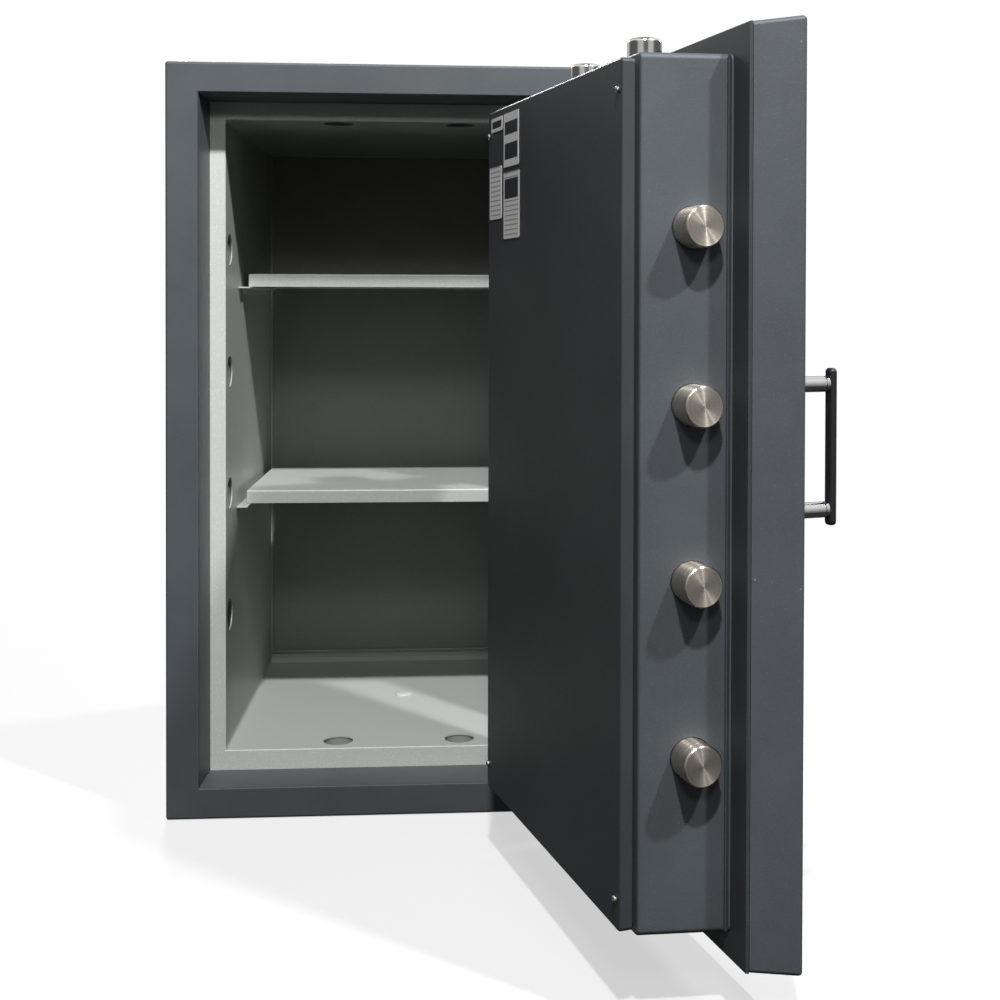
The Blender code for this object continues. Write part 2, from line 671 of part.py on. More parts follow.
def live_bolt(rig, fin, name, tip, axis, r, length):
    """A round bolt whose outer end is at tip; axis points outwards."""
    a = Vector(axis)
    tip = Vector(tip)
    ob = rig.rod(name, tip, -a, r, length, fin["steel"], origin=tip, door=True)
    rig.bevel(ob, BOLT_EDGE, 1, 60)


def boltwork(rig, fin):
    for i, z in enumerate(BOLT_Z):
        live_bolt(rig, fin, f"side_bolt_{i + 1}", (BOLT_TIP, BOLT_Y, z), (-1, 0, 0), BOLT_R, BOLT_L)
    x = BOLT_TIP + BOLT_L + GAP
    y0, y1 = BOLT_Y - BAR_W / 2, BOLT_Y + BAR_W / 2
    rig.box(
        "side_bolt_bar", (x, y0, BOLT_Z[0] - BAR_END), (x + BAR_T, y1, BOLT_Z[-1] + BAR_END),
        fin["plate"], origin=(x, BOLT_Y, BOLT_Z[0]), door=True,
    )
    mid = sum(END_BOLT_X) / 2
    length = 0.055
    for tag, edge, out, s in (
        ("top", BOX_Z1, TOP_BOLT_OUT, 1),
        ("bottom", BOX_Z0, BOTTOM_BOLT_OUT, -1),
    ):
        tip = edge + s * out
        for i, bx in enumerate(END_BOLT_X):
            at = (bx, BOLT_Y, tip)
            live_bolt(rig, fin, f"{tag}_bolt_{i + 1}", at, (0, 0, s), END_BOLT_R, length)
        z = tip - s * (length + GAP)
        zs = sorted((z, z - s * BAR_T))
        rig.box(
            f"{tag}_bolt_bar", (mid - END_BAR_L / 2, y0, zs[0]), (mid + END_BAR_L / 2, y1, zs[1]),
            fin["plate"], origin=(mid, BOLT_Y, z), door=True,
        )


def handle(rig, fin):
    """Operating handle: rose on the slab, hub with lever outside, spindle and cam inside."""
    p = Vector((HANDLE_X, SLAB_Y0, HANDLE_Z))
    face = p - Vector((0, GAP, 0))
    rose = rig.rod("handle_rose", face, (0, -1, 0), ROSE_R, ROSE_T, fin["chrome"], door=True)
    rig.bevel(rose, 0.0015, 2, 60)
    rig.cut(rose, spindle_hole(rig, "rose_hole", p.x, p.z, SPINDLE_HOLE_R, p.y - 0.05, p.y + 0.01))
    start = p - Vector((0, ROSE_T + 2 * GAP, 0))
    hub = rig.rod(
        "handle_lever", start, (0, -1, 0), HUB_R, HUB_H, fin["chrome"], n=32, origin=start, door=True
    )
    arm_at = start - Vector((0, HUB_H - LEVER_R - 0.002, 0))
    arm = rig.rod("lever_arm", arm_at, (1, 0, 0), LEVER_R, LEVER_L, n=24, r2=LEVER_R * 0.85, door=True)
    rig.cut(hub, arm, "UNION")
    end_y = BOX_Y0 + 0.022
    foot = start + Vector((0, GAP, 0))
    rig.rod("handle_spindle", foot, (0, 1, 0), SPINDLE_R, end_y - foot.y, fin["plate"], n=24,
            origin=start, door=True)
    cam_y = BOX_Y0 + 0.010
    cam = rig.rod("bolt_cam", (p.x, cam_y, p.z), (0, 1, 0), CAM_R, CAM_T, fin["plate"],
                  origin=(p.x, cam_y, p.z), door=True)
    rig.cut(cam, spindle_hole(rig, "cam_hole", p.x, p.z, SPINDLE_R + GAP, cam_y - 0.01, cam_y + 0.02))
    notch = rig.box("cam_notch", (p.x - 0.012, cam_y - 0.01, p.z + CAM_R - 0.010),
                    (p.x + 0.012, cam_y + 0.02, p.z + CAM_R + 0.01), door=True)
    rig.cut(cam, notch)


def dial(rig, fin):
    p = Vector((DIAL_X, SLAB_Y0 - GAP, DIAL_Z))
    ring = rig.rod("dial_ring", p, (0, -1, 0), RING_R, RING_T, fin["black"], door=True)
    rig.bevel(ring, 0.0015, 2, 60)
    rig.cut(ring, spindle_hole(rig, "ring_hole", p.x, p.z, DIAL_HOLE_R, p.y - 0.05, p.y + 0.01))
    start = p - Vector((0, RING_T + GAP, 0))
    ob = rig.rod("dial", start, (0, -1, 0), DIAL_R, DIAL_H, fin["black"], r2=DIAL_R * 0.82,
                 origin=start, door=True)
    knob_at = start - Vector((0, DIAL_H - 0.001, 0))
    knob = rig.rod("dial_knob", knob_at, (0, -1, 0), KNOB_R, KNOB_H, n=24, door=True)
    rig.cut(ob, knob, "UNION")
    lock_y = BOX_Y0 + GAP
    length = lock_y - start.y + LOCK_T + 0.006
    rig.rod("dial_spindle", start + Vector((0, GAP, 0)), (0, 1, 0), DIAL_SPINDLE_R, length,
            fin["plate"], n=20, origin=start, door=True)
    lock(rig, fin, lock_y)


def lock(rig, fin, y):
    lo = Vector((DIAL_X - LOCK_W / 2, y, DIAL_Z - LOCK_H / 2))
    hi = lo + Vector((LOCK_W, LOCK_D, LOCK_H))
    case = rig.box("lock_case", lo, hi, fin["brass"], door=True)
    rig.bevel(case, 0.002, 2)
    t = Vector((LOCK_T,) * 3)
    rig.cut(case, rig.box("lock_room", lo + t, hi - t, door=True))
    rig.cut(case, spindle_hole(rig, "lock_spindle_hole", DIAL_X, DIAL_Z, DIAL_HOLE_R, y - 0.01, y + 0.01))
    x0, x1 = DIAL_X - LOCK_BOLT_W / 2, DIAL_X + LOCK_BOLT_W / 2
    y0 = y + LOCK_D / 2 - LOCK_BOLT_D / 2 + 0.004
    f = 0.0005
    gate = rig.box("lock_gate", (x0 - f, y0 - f, lo.z - 0.01), (x1 + f, y0 + LOCK_BOLT_D + f, lo.z + 0.01),
                   door=True)
    rig.cut(case, gate)
    tip = lo.z - LOCK_BOLT_OUT
    rig.box("lock_bolt", (x0, y0, tip), (x1, y0 + LOCK_BOLT_D, tip + LOCK_BOLT_L), fin["brass"],
            origin=(DIAL_X, y0 + LOCK_BOLT_D / 2, tip), door=True)


def pull(rig, fin):
    """A fixed pull handle near the opening edge: flat bar on two round posts."""
    face = SLAB_Y0 - GAP
    back = SLAB_Y0 - PULL_PROUD + PULL_T
    bar = rig.box(
        "pull_bar",
        (PULL_X - PULL_W / 2, back - PULL_T, PULL_Z - PULL_H / 2),
        (PULL_X + PULL_W / 2, back, PULL_Z + PULL_H / 2),
        fin["black"],
        door=True,
    )
    rig.bevel(bar, 0.002, 2)
    for tag, s in (("upper", 1), ("lower", -1)):
        z = PULL_Z + s * (PULL_H / 2 - POST_END)
        post = rig.rod(f"pull_post_{tag}", (PULL_X, face, z), (0, -1, 0), POST_R, face - back - GAP,
                       fin["chrome"], n=24, door=True)
        rig.bevel(post, 0.0008, 1, 60)


def main():
    rig = Rig()
    fin = finishes(rig)
    body_shell(rig, fin)
    door_jamb(rig, fin)
    liner(rig, fin)
    fire_fill(rig, fin)
    shelf(rig, fin, "shelf_upper", SHELF_UP_TOP, SHELF_UP_SETBACK)
    shelf(rig, fin, "shelf_lower", SHELF_LO_TOP, SHELF_LO_SETBACK)
    floor_plug(rig, fin)
    for tag, z in zip(("lower", "upper"), HINGE_Z):
        hinge(rig, fin, tag, z)
    slab(rig, fin)
    bolt_box(rig, fin)
    cover(rig, fin)
    boltwork(rig, fin)
    handle(rig, fin)
    dial(rig, fin)
    pull(rig, fin)


main()
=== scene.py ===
"""Looks of a fire resisting gun safe that stands with its door open.

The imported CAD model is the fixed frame. Each class below makes one sub-assembly of the safe,
dresses it in its finish and hangs it on the body that it moves with.
"""

from __future__ import annotations

import logging
import math
from dataclasses import dataclass
from enum import Enum
from typing import Callable, ClassVar, Sequence

import bpy
from mathutils import Matrix, Vector


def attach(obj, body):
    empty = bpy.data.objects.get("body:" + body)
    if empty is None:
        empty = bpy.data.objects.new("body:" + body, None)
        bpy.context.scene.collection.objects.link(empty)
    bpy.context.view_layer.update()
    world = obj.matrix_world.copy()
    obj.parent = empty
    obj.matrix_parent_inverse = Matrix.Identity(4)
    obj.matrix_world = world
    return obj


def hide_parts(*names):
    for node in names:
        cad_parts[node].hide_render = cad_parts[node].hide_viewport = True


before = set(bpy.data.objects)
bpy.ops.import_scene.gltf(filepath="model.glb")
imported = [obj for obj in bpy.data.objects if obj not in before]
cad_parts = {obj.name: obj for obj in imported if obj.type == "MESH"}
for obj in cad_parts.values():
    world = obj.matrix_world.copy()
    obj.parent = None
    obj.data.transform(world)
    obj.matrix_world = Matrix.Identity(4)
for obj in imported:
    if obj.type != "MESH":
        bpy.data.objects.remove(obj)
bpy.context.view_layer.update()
LOG = logging.getLogger("gun_safe")

Rect = tuple[float, float, float, float]
Picker = Callable[[Vector, Vector], bool]


class Side(Enum):
    """Which side of the safe a piece is on, seen from the front."""

    LEFT = -1
    RIGHT = 1


class End(Enum):
    """Which end of the door a bolt comes out of."""

    TOP = 1
    BOTTOM = -1


@dataclass(frozen=True)
class Datum:
    """The sizes that the sub-assemblies share, in metres."""

    width: float = 0.600
    height: float = 0.950
    depth: float = 0.560
    side_border: float = 0.0405
    top_border: float = 0.0375
    bottom_border: float = 0.0385
    jamb_depth: float = 0.057
    jamb_taper: float = 0.0050
    flange_side: float = 0.0198
    flange_top: float = 0.0227
    flange_bottom: float = 0.0252
    inner_depth: float = 0.440
    pivot_x: float = 0.2685
    pivot_out: float = 0.036
    open_deg: float = 105.7
    gap: float = 0.0003

    @property
    def front(self) -> float:
        """The Y of the front face."""
        return -self.depth / 2

    @property
    def flange(self) -> float:
        """The Y of the lining's front flange."""
        return self.front + self.jamb_depth

    @property
    def back(self) -> float:
        """The Y of the lining's back sheet."""
        return self.flange + self.inner_depth

    @property
    def opening(self) -> Rect:
        """The door opening in the front face as x0, x1, z0, z1."""
        x = self.width / 2 - self.side_border
        return -x, x, self.bottom_border, self.height - self.top_border

    @property
    def room(self) -> Rect:
        """The inside of the lining as x0, x1, z0, z1."""
        x0, x1, z0, z1 = self.opening
        side = self.jamb_taper + self.flange_side
        return (
            x0 + side,
            x1 - side,
            z0 + self.jamb_taper + self.flange_bottom,
            z1 - self.jamb_taper - self.flange_top,
        )

    def throat(self, y: float, grow: float = 0.0) -> Rect:
        """The tapered door opening at one depth.

        Args:
            y: the depth.
            grow: how far outwards the outline is moved.

        Returns:
            The outline as x0, x1, z0, z1.
        """
        x0, x1, z0, z1 = self.opening
        k = (y - self.front) / self.jamb_depth * self.jamb_taper - grow
        return x0 + k, x1 - k, z0 + k, z1 - k

    @property
    def pivot(self) -> Vector:
        """A point on the hinge axis."""
        return Vector((self.pivot_x, self.front - self.pivot_out, 0.0))

    @property
    def swing(self) -> Matrix:
        """The turn that takes a door piece from closed to where it stands."""
        there = Matrix.Translation(self.pivot)
        return there @ Matrix.Rotation(math.radians(self.open_deg), 4, "Z") @ there.inverted()


DATUM = Datum()


def moved(rect: Rect, inwards: float) -> Rect:
    """The outline x0, x1, z0, z1 moved inwards on all four sides."""
    return rect[0] + inwards, rect[1] - inwards, rect[2] + inwards, rect[3] - inwards


class Bench:
    """The modelling tools: each one works on an object with Blender's own operators."""

    SHARP_DEG = 38.0

    @staticmethod
    def take(ob: bpy.types.Object) -> None:
        """Make one object the only selected and active one."""
        if bpy.context.object and bpy.context.object.mode != "OBJECT":
            bpy.ops.object.mode_set(mode="OBJECT")
        bpy.ops.object.select_all(action="DESELECT")
        ob.select_set(True)
        bpy.context.view_layer.objects.active = ob

    @staticmethod
    def named(name: str) -> bpy.types.Object:
        """Name the new active object and put its place into its mesh."""
        ob = bpy.context.object
        ob.name = name
        ob.data.name = name
        Bench.take(ob)
        bpy.ops.object.transform_apply(location=True, rotation=True, scale=True)
        return ob

    @staticmethod
    def block(name: str, low: Sequence[float], high: Sequence[float]) -> bpy.types.Object:
        """A box between two corners."""
        bpy.ops.object.select_all(action="DESELECT")
        low, high = Vector(low), Vector(high)
        bpy.ops.mesh.primitive_cube_add(size=1, location=(low + high) / 2, scale=high - low)
        return Bench.named(name)

    @staticmethod
    def plug(name: str, y0: float, a: Rect, y1: float, b: Rect) -> bpy.types.Object:
        """A block whose outline changes from a at depth y0 to b at depth y1."""
        ob = Bench.block(name, (a[0], y0, a[2]), (a[1], y1, a[3]))
        mid = (y0 + y1) / 2
        for v in ob.data.vertices:
            if v.co.y > mid:
                v.co.x = b[0] if v.co.x < (a[0] + a[1]) / 2 else b[1]
                v.co.z = b[2] if v.co.z < (a[2] + a[3]) / 2 else b[3]
        return ob

    @staticmethod
    def rod(
        name: str, start: Sequence[float], end: Sequence[float], radius: float, sides: int = 64
    ) -> bpy.types.Object:
        """A straight round rod between two points."""
        bpy.ops.object.select_all(action="DESELECT")
        start, end = Vector(start), Vector(end)
        turn = Vector((0, 0, 1)).rotation_difference(end - start).to_euler()
        bpy.ops.mesh.primitive_cylinder_add(
            vertices=sides,
            radius=radius,
            depth=(end - start).length,
            location=(start + end) / 2,
            rotation=turn,
        )
        return Bench.named(name)

    @staticmethod
    def turned(
        name: str,
        start: Sequence[float],
        axis: Sequence[float],
        steps: Sequence[tuple[float, float]],
        sides: int = 64,
    ) -> bpy.types.Object:
        """A turned piece, drawn out of a disc step by step as on a lathe.

        Args:
            name: the piece's name.
            start: centre of the first disc.
            axis: direction in which the piece is drawn out.
            steps: (distance from start, radius) at each shoulder, the first one at the disc.
            sides: sides round the piece.

        Returns:
            The closed turned piece.
        """
        bpy.ops.object.select_all(action="DESELECT")
        at, radius = steps[0]
        bpy.ops.mesh.primitive_circle_add(
            vertices=sides, radius=radius, fill_type="NGON", location=(0, 0, at)
        )
        ob = Bench.named(name)
        bpy.ops.object.mode_set(mode="EDIT")
        bpy.ops.mesh.select_all(action="SELECT")
        for further, wider in steps[1:]:
            bpy.ops.mesh.extrude_region_move(
                TRANSFORM_OT_translate={"value": (0, 0, further - at)}
            )
            if abs(wider - radius) > 1e-7:
                k = wider / radius
                bpy.ops.transform.resize(value=(k, k, 1), center_override=(0, 0, further))
            at, radius = further, wider
        bpy.ops.mesh.select_all(action="SELECT")
        bpy.ops.mesh.normals_make_consistent(inside=False)
        bpy.ops.object.mode_set(mode="OBJECT")
        turn = Vector((0, 0, 1)).rotation_difference(Vector(axis)).to_matrix().to_4x4()
        ob.data.transform(Matrix.Translation(Vector(start)) @ turn)
        return ob

    @staticmethod
    def cut(ob: bpy.types.Object, tool: bpy.types.Object, mode: str = "DIFFERENCE") -> None:
        """Take a tool out of a piece, or join it on, and clear the tool away."""
        Bench.take(ob)
        m = ob.modifiers.new("cut", "BOOLEAN")
        m.operation = mode
        m.solver = "EXACT"
        m.object = tool
        bpy.ops.object.modifier_apply(modifier=m.name)
        bpy.data.objects.remove(tool)

    @staticmethod
    def pick_edges(ob: bpy.types.Object, test: Picker) -> None:
        """Select, in edit mode, the edges whose middle and direction pass a test."""
        Bench.take(ob)
        bpy.ops.object.mode_set(mode="EDIT")
        bpy.ops.mesh.select_mode(type="EDGE")
        bpy.ops.mesh.select_all(action="DESELECT")
        bpy.ops.object.mode_set(mode="OBJECT")
        vs = ob.data.vertices
        for e in ob.data.edges:
            a, b = (vs[i].co for i in e.vertices)
            e.select = test((a + b) / 2, (b - a).normalized())
        bpy.ops.object.mode_set(mode="EDIT")

    @staticmethod
    def pick_faces(ob: bpy.types.Object, test: Picker) -> None:
        """Select, in edit mode, the faces whose middle and normal pass a test."""
        Bench.take(ob)
        bpy.ops.object.mode_set(mode="EDIT")
        bpy.ops.mesh.select_mode(type="FACE")
        bpy.ops.mesh.select_all(action="DESELECT")
        bpy.ops.object.mode_set(mode="OBJECT")
        for f in ob.data.polygons:
            f.select = test(f.center, f.normal)
        bpy.ops.object.mode_set(mode="EDIT")

    @staticmethod
    def round_edges(ob: bpy.types.Object, test: Picker, width: float, segments: int = 4) -> None:
        """Round the edges that pass a test."""
        Bench.pick_edges(ob, test)
        bpy.ops.mesh.bevel(offset=width, segments=segments, affect="EDGES", clamp_overlap=True)
        bpy.ops.object.mode_set(mode="OBJECT")

    @staticmethod
    def soften(ob: bpy.types.Object, width: float, segments: int = 3) -> None:
        """Break every sharp edge of a piece."""
        Bench.take(ob)
        m = ob.modifiers.new("edge", "BEVEL")
        m.width = width
        m.segments = segments
        m.limit_method = "ANGLE"
        m.angle_limit = math.radians(Bench.SHARP_DEG)
        m.use_clamp_overlap = True
        m.miter_outer = "MITER_ARC"
        bpy.ops.object.modifier_apply(modifier=m.name)

    @staticmethod
    def shade(ob: bpy.types.Object, angle: float = 32.0) -> None:
        """Smooth the rounded stretches of a piece and keep its flats flat."""
        Bench.take(ob)
        bpy.ops.object.shade_smooth_by_angle(angle=math.radians(angle))
        m = ob.modifiers.new("flats", "WEIGHTED_NORMAL")
        m.mode = "FACE_AREA"
        m.weight = 60
        m.keep_sharp = True
        bpy.ops.object.modifier_apply(modifier=m.name)

    @staticmethod
    def joined(name: str, pieces: Sequence[bpy.types.Object]) -> bpy.types.Object:
        """Make several pieces one object."""
        Bench.take(pieces[0])
        for p in pieces[1:]:
            p.select_set(True)
        bpy.ops.object.join()
        ob = bpy.context.object
        ob.name = name
        ob.data.name = name
        return ob

    @staticmethod
    def hang(ob: bpy.types.Object) -> None:
        """Turn a piece made on the closed door to where the door stands."""
        ob.data.transform(DATUM.swing)


class Wiring:
    """A small hand for wiring a node tree."""

    def __init__(self, tree: bpy.types.NodeTree, coords: str) -> None:
        self.tree = tree
        self.coords = tree.nodes.new("ShaderNodeTexCoord").outputs[coords]

    def node(self, kind: str, **fields: object) -> bpy.types.Node:
        """Add a node and set its fields."""
        n = self.tree.nodes.new(kind)
        for key, value in fields.items():
            setattr(n, key, value)
        return n

    def link(self, a: bpy.types.NodeSocket, b: bpy.types.NodeSocket) -> None:
        """Join two sockets."""
        self.tree.links.new(a, b)

    def maths(
        self,
        operation: str,
        a: bpy.types.NodeSocket,
        *others: bpy.types.NodeSocket | float,
    ) -> bpy.types.NodeSocket:
        """A sum on one socket and up to two more sockets or numbers."""
        n = self.node("ShaderNodeMath", operation=operation)
        for socket, value in zip(n.inputs, (a, *others)):
            if isinstance(value, bpy.types.NodeSocket):
                self.link(value, socket)
            else:
                socket.default_value = value
        return n.outputs[0]

    def vector(
        self, operation: str, a: bpy.types.NodeSocket, b: Sequence[float] = (0, 0, 0)
    ) -> bpy.types.Node:
        """A sum on a vector socket and a fixed vector."""
        n = self.node("ShaderNodeVectorMath", operation=operation)
        self.link(a, n.inputs[0])
        n.inputs[1].default_value = b
        return n

    def up(self, source: bpy.types.NodeSocket) -> bpy.types.NodeSocket:
        """The Z of a vector."""
        apart = self.node("ShaderNodeSeparateXYZ")
        self.link(source, apart.inputs[0])
        return apart.outputs["Z"]

    def stretched(self, scale: Sequence[float]) -> bpy.types.NodeSocket:
        """Object coordinates with a pattern repeated more often along some axes."""
        size = self.node("ShaderNodeMapping", vector_type="POINT")
        size.inputs["Scale"].default_value = scale
        self.link(self.coords, size.inputs["Vector"])
        return size.outputs["Vector"]

    def noise(
        self,
        scale: float,
        detail: float = 3.0,
        rough: float = 0.5,
        vector: bpy.types.NodeSocket | None = None,
    ) -> bpy.types.NodeSocket:
        """A noise pattern."""
        n = self.node("ShaderNodeTexNoise")
        n.inputs["Scale"].default_value = scale
        n.inputs["Detail"].default_value = detail
        n.inputs["Roughness"].default_value = rough
        self.link(vector or self.coords, n.inputs["Vector"])
        return n.outputs["Fac"]

    def spread(
        self, value: bpy.types.NodeSocket, low: float, high: float, to_low: float, to_high: float
    ) -> bpy.types.NodeSocket:
        """Map a range of a value onto another range."""
        n = self.node("ShaderNodeMapRange")
        for key, v in (
            ("From Min", low),
            ("From Max", high),
            ("To Min", to_low),
            ("To Max", to_high),
        ):
            n.inputs[key].default_value = v
        self.link(value, n.inputs["Value"])
        return n.outputs["Result"]

    def blend(
        self,
        factor: bpy.types.NodeSocket,
        a: Sequence[float] | bpy.types.NodeSocket,
        b: Sequence[float] | bpy.types.NodeSocket,
    ) -> bpy.types.NodeSocket:
        """Mix two colours by a factor."""
        n = self.node("ShaderNodeMix", data_type="RGBA")
        self.link(factor, n.inputs[0])
        for socket, colour in ((n.inputs[6], a), (n.inputs[7], b)):
            if isinstance(colour, bpy.types.NodeSocket):
                self.link(colour, socket)
            else:
                socket.default_value = (*colour, 1)
        return n.outputs[2]

    def bump(
        self,
        height: bpy.types.NodeSocket,
        distance: float,
        strength: float = 1.0,
        under: bpy.types.NodeSocket | None = None,
    ) -> bpy.types.NodeSocket:
        """Raise the surface by a height pattern, over another bump if one is given."""
        n = self.node("ShaderNodeBump")
        n.inputs["Strength"].default_value = strength
        n.inputs["Distance"].default_value = distance
        self.link(height, n.inputs["Height"])
        if under is not None:
            self.link(under, n.inputs["Normal"])
        return n.outputs["Normal"]


class Nodes(Wiring):
    """The wiring of one material, which reads Object coordinates."""

    def __init__(self, name: str) -> None:
        self.mat = bpy.data.materials.new(name)
        self.mat.use_nodes = True
        super().__init__(self.mat.node_tree, "Object")
        self.shader = self.tree.nodes["Principled BSDF"]

    def set(self, **values: float) -> None:
        """Set constant numbers on the shader's own sockets."""
        for key, v in values.items():
            self.shader.inputs[key.replace("_", " ")].default_value = v


@dataclass(frozen=True)
class PowderCoat:
    """A fine textured powder coat: orange peel, mottling, specks, and dust where it is asked for.

    Below a given height the colour is multiplied by a gain: painted light, which draws the floor sheet
    lighter than the walls in the same paint, as if the key lamp lit it more.
    """

    name: str
    colour: tuple[float, float, float]
    rough: float = 0.5
    peel: float = 0.00012
    mottle: float = 0.12
    dust: float = 0.0
    painted_light_below: float = 0.0
    painted_light_gain: float = 1.0

    def build(self) -> bpy.types.Material:
        """Wire the material.

        Returns:
            The finished material.
        """
        n = Nodes(self.name)
        cloud = n.noise(9.0, 4.0, 0.55)
        fine = n.noise(900.0, 2.0, 0.6)
        grain = n.noise(420.0, 3.0, 0.65)
        dark = tuple(c * (1 - self.mottle) for c in self.colour)
        light = tuple(min(1.0, c * (1 + self.mottle)) for c in self.colour)
        colour = n.blend(n.spread(cloud, 0.3, 0.7, 0, 1), dark, light)
        bright = tuple(c * 1.75 for c in self.colour)
        speck = n.blend(n.spread(fine, 0.58, 0.72, 0, 0.6), colour, bright)
        # painted light: below this height the colour is lightened, standing in for the key lamp's light
        # on the floor sheet
        if self.painted_light_below > 0:
            low = n.spread(n.up(n.coords), self.painted_light_below, self.painted_light_below + 0.002, 1.0, 0.0)
            speck = n.blend(low, speck, tuple(c * self.painted_light_gain for c in self.colour))
        if self.dust > 0:
            mote = n.node("ShaderNodeTexVoronoi")
            mote.inputs["Scale"].default_value = 150.0
            n.link(n.coords, mote.inputs["Vector"])
            near = n.spread(mote.outputs["Distance"], 0.10, 0.16, 1.0, 0.0)
            rare = n.spread(n.noise(34.0, 2.0), 0.64, 0.72, 0.0, self.dust)
            speck = n.blend(n.maths("MULTIPLY", near, rare), speck, (0.62, 0.63, 0.62))
        n.link(speck, n.shader.inputs["Base Color"])
        n.link(
            n.spread(grain, 0.2, 0.8, self.rough - 0.07, self.rough + 0.09),
            n.shader.inputs["Roughness"],
        )
        peel = n.bump(grain, self.peel, 0.8)
        n.link(n.bump(n.noise(1500.0, 1.0), self.peel * 0.35, 0.6, peel), n.shader.inputs["Normal"])
        n.set(Metallic=0.0)
        return n.mat


@dataclass(frozen=True)
class TurnedSteel:
    """Bright turned steel: fine rings round an axis, a little colour drift and stain."""

    name: str
    centre: tuple[float, float, float]
    axis: tuple[float, float, float]
    colour: tuple[float, float, float] = (0.82, 0.75, 0.65)
    rough: float = 0.27
    anisotropic: float = 0.93

    def build(self) -> bpy.types.Material:
        """Wire the material.

        Returns:
            The finished material.
        """
        n = Nodes(self.name)
        away = n.vector("SUBTRACT", n.coords, self.centre).outputs[0]
        round_it = n.node("ShaderNodeVectorMath", operation="CROSS_PRODUCT")
        round_it.inputs[0].default_value = self.axis
        n.link(away, round_it.inputs[1])
        tangent = n.vector("NORMALIZE", round_it.outputs[0])
        turn = n.node("ShaderNodeVectorTransform", vector_type="VECTOR")
        turn.convert_from = "OBJECT"
        turn.convert_to = "WORLD"
        n.link(tangent.outputs[0], turn.inputs[0])
        n.link(turn.outputs[0], n.shader.inputs["Tangent"])
        radius = n.vector("LENGTH", round_it.outputs[0])
        along = n.vector("DOT_PRODUCT", away, self.axis)
        place = n.node("ShaderNodeCombineXYZ")
        n.link(radius.outputs["Value"], place.inputs[0])
        n.link(along.outputs["Value"], place.inputs[1])
        rings = n.noise(4200.0, 2.0, 0.7, place.outputs[0])
        broad = n.noise(380.0, 3.0, 0.6, place.outputs[0])
        drift = n.noise(55.0, 3.0, 0.6)
        dark = tuple(c * 0.72 for c in self.colour)
        colour = n.blend(n.spread(broad, 0.3, 0.75, 0, 1), self.colour, dark)
        warm = (self.colour[0] * 0.9, self.colour[1] * 0.84, self.colour[2] * 0.74)
        colour = n.blend(n.spread(drift, 0.55, 0.8, 0, 0.5), colour, warm)
        n.link(colour, n.shader.inputs["Base Color"])
        n.link(
            n.spread(rings, 0.2, 0.8, self.rough - 0.05, self.rough + 0.08),
            n.shader.inputs["Roughness"],
        )
        n.link(n.bump(rings, 0.0000012, 0.3), n.shader.inputs["Normal"])
        n.set(Metallic=1.0, Anisotropic=self.anisotropic, Anisotropic_Rotation=0.25)
        return n.mat


@dataclass(frozen=True)
class Plated:
    """Plated metal: bright or dull, with faint cloudiness and fine wear."""

    name: str
    colour: tuple[float, float, float]
    rough: float
    cloud: float = 0.12

    def build(self) -> bpy.types.Material:
        """Wire the material.

        Returns:
            The finished material.
        """
        n = Nodes(self.name)
        patch = n.noise(40.0, 4.0, 0.6)
        scratch = n.noise(1.0, 3.0, 0.7, n.stretched((60, 60, 1400)))
        dark = tuple(c * (1 - self.cloud) for c in self.colour)
        colour = n.blend(n.spread(patch, 0.3, 0.7, 0, 1), dark, self.colour)
        n.link(colour, n.shader.inputs["Base Color"])
        n.link(
            n.spread(scratch, 0.3, 0.8, max(0.02, self.rough - 0.03), self.rough + 0.07),
            n.shader.inputs["Roughness"],
        )
        n.link(n.bump(scratch, 0.000004, 0.4), n.shader.inputs["Normal"])
        n.set(Metallic=1.0)
        return n.mat


@dataclass(frozen=True)
class Moulded:
    """Plain moulded or cast matter: rubber, plastic, paper or cast fill, with fine pitting."""

    name: str
    colour: tuple[float, float, float]
    rough: float
    pit: float = 0.00002
    grain: float = 600.0

    def build(self) -> bpy.types.Material:
        """Wire the material.

        Returns:
            The finished material.
        """
        n = Nodes(self.name)
        cloud = n.noise(25.0, 4.0, 0.6)
        fine = n.noise(self.grain, 3.0, 0.6)
        dark = tuple(c * 0.86 for c in self.colour)
        colour = n.blend(n.spread(cloud, 0.3, 0.7, 0, 1), dark, self.colour)
        n.link(colour, n.shader.inputs["Base Color"])
        n.link(
            n.spread(fine, 0.2, 0.8, max(0.05, self.rough - 0.08), min(1.0, self.rough + 0.08)),
            n.shader.inputs["Roughness"],
        )
        n.link(n.bump(fine, self.pit, 0.7), n.shader.inputs["Normal"])
        return n.mat


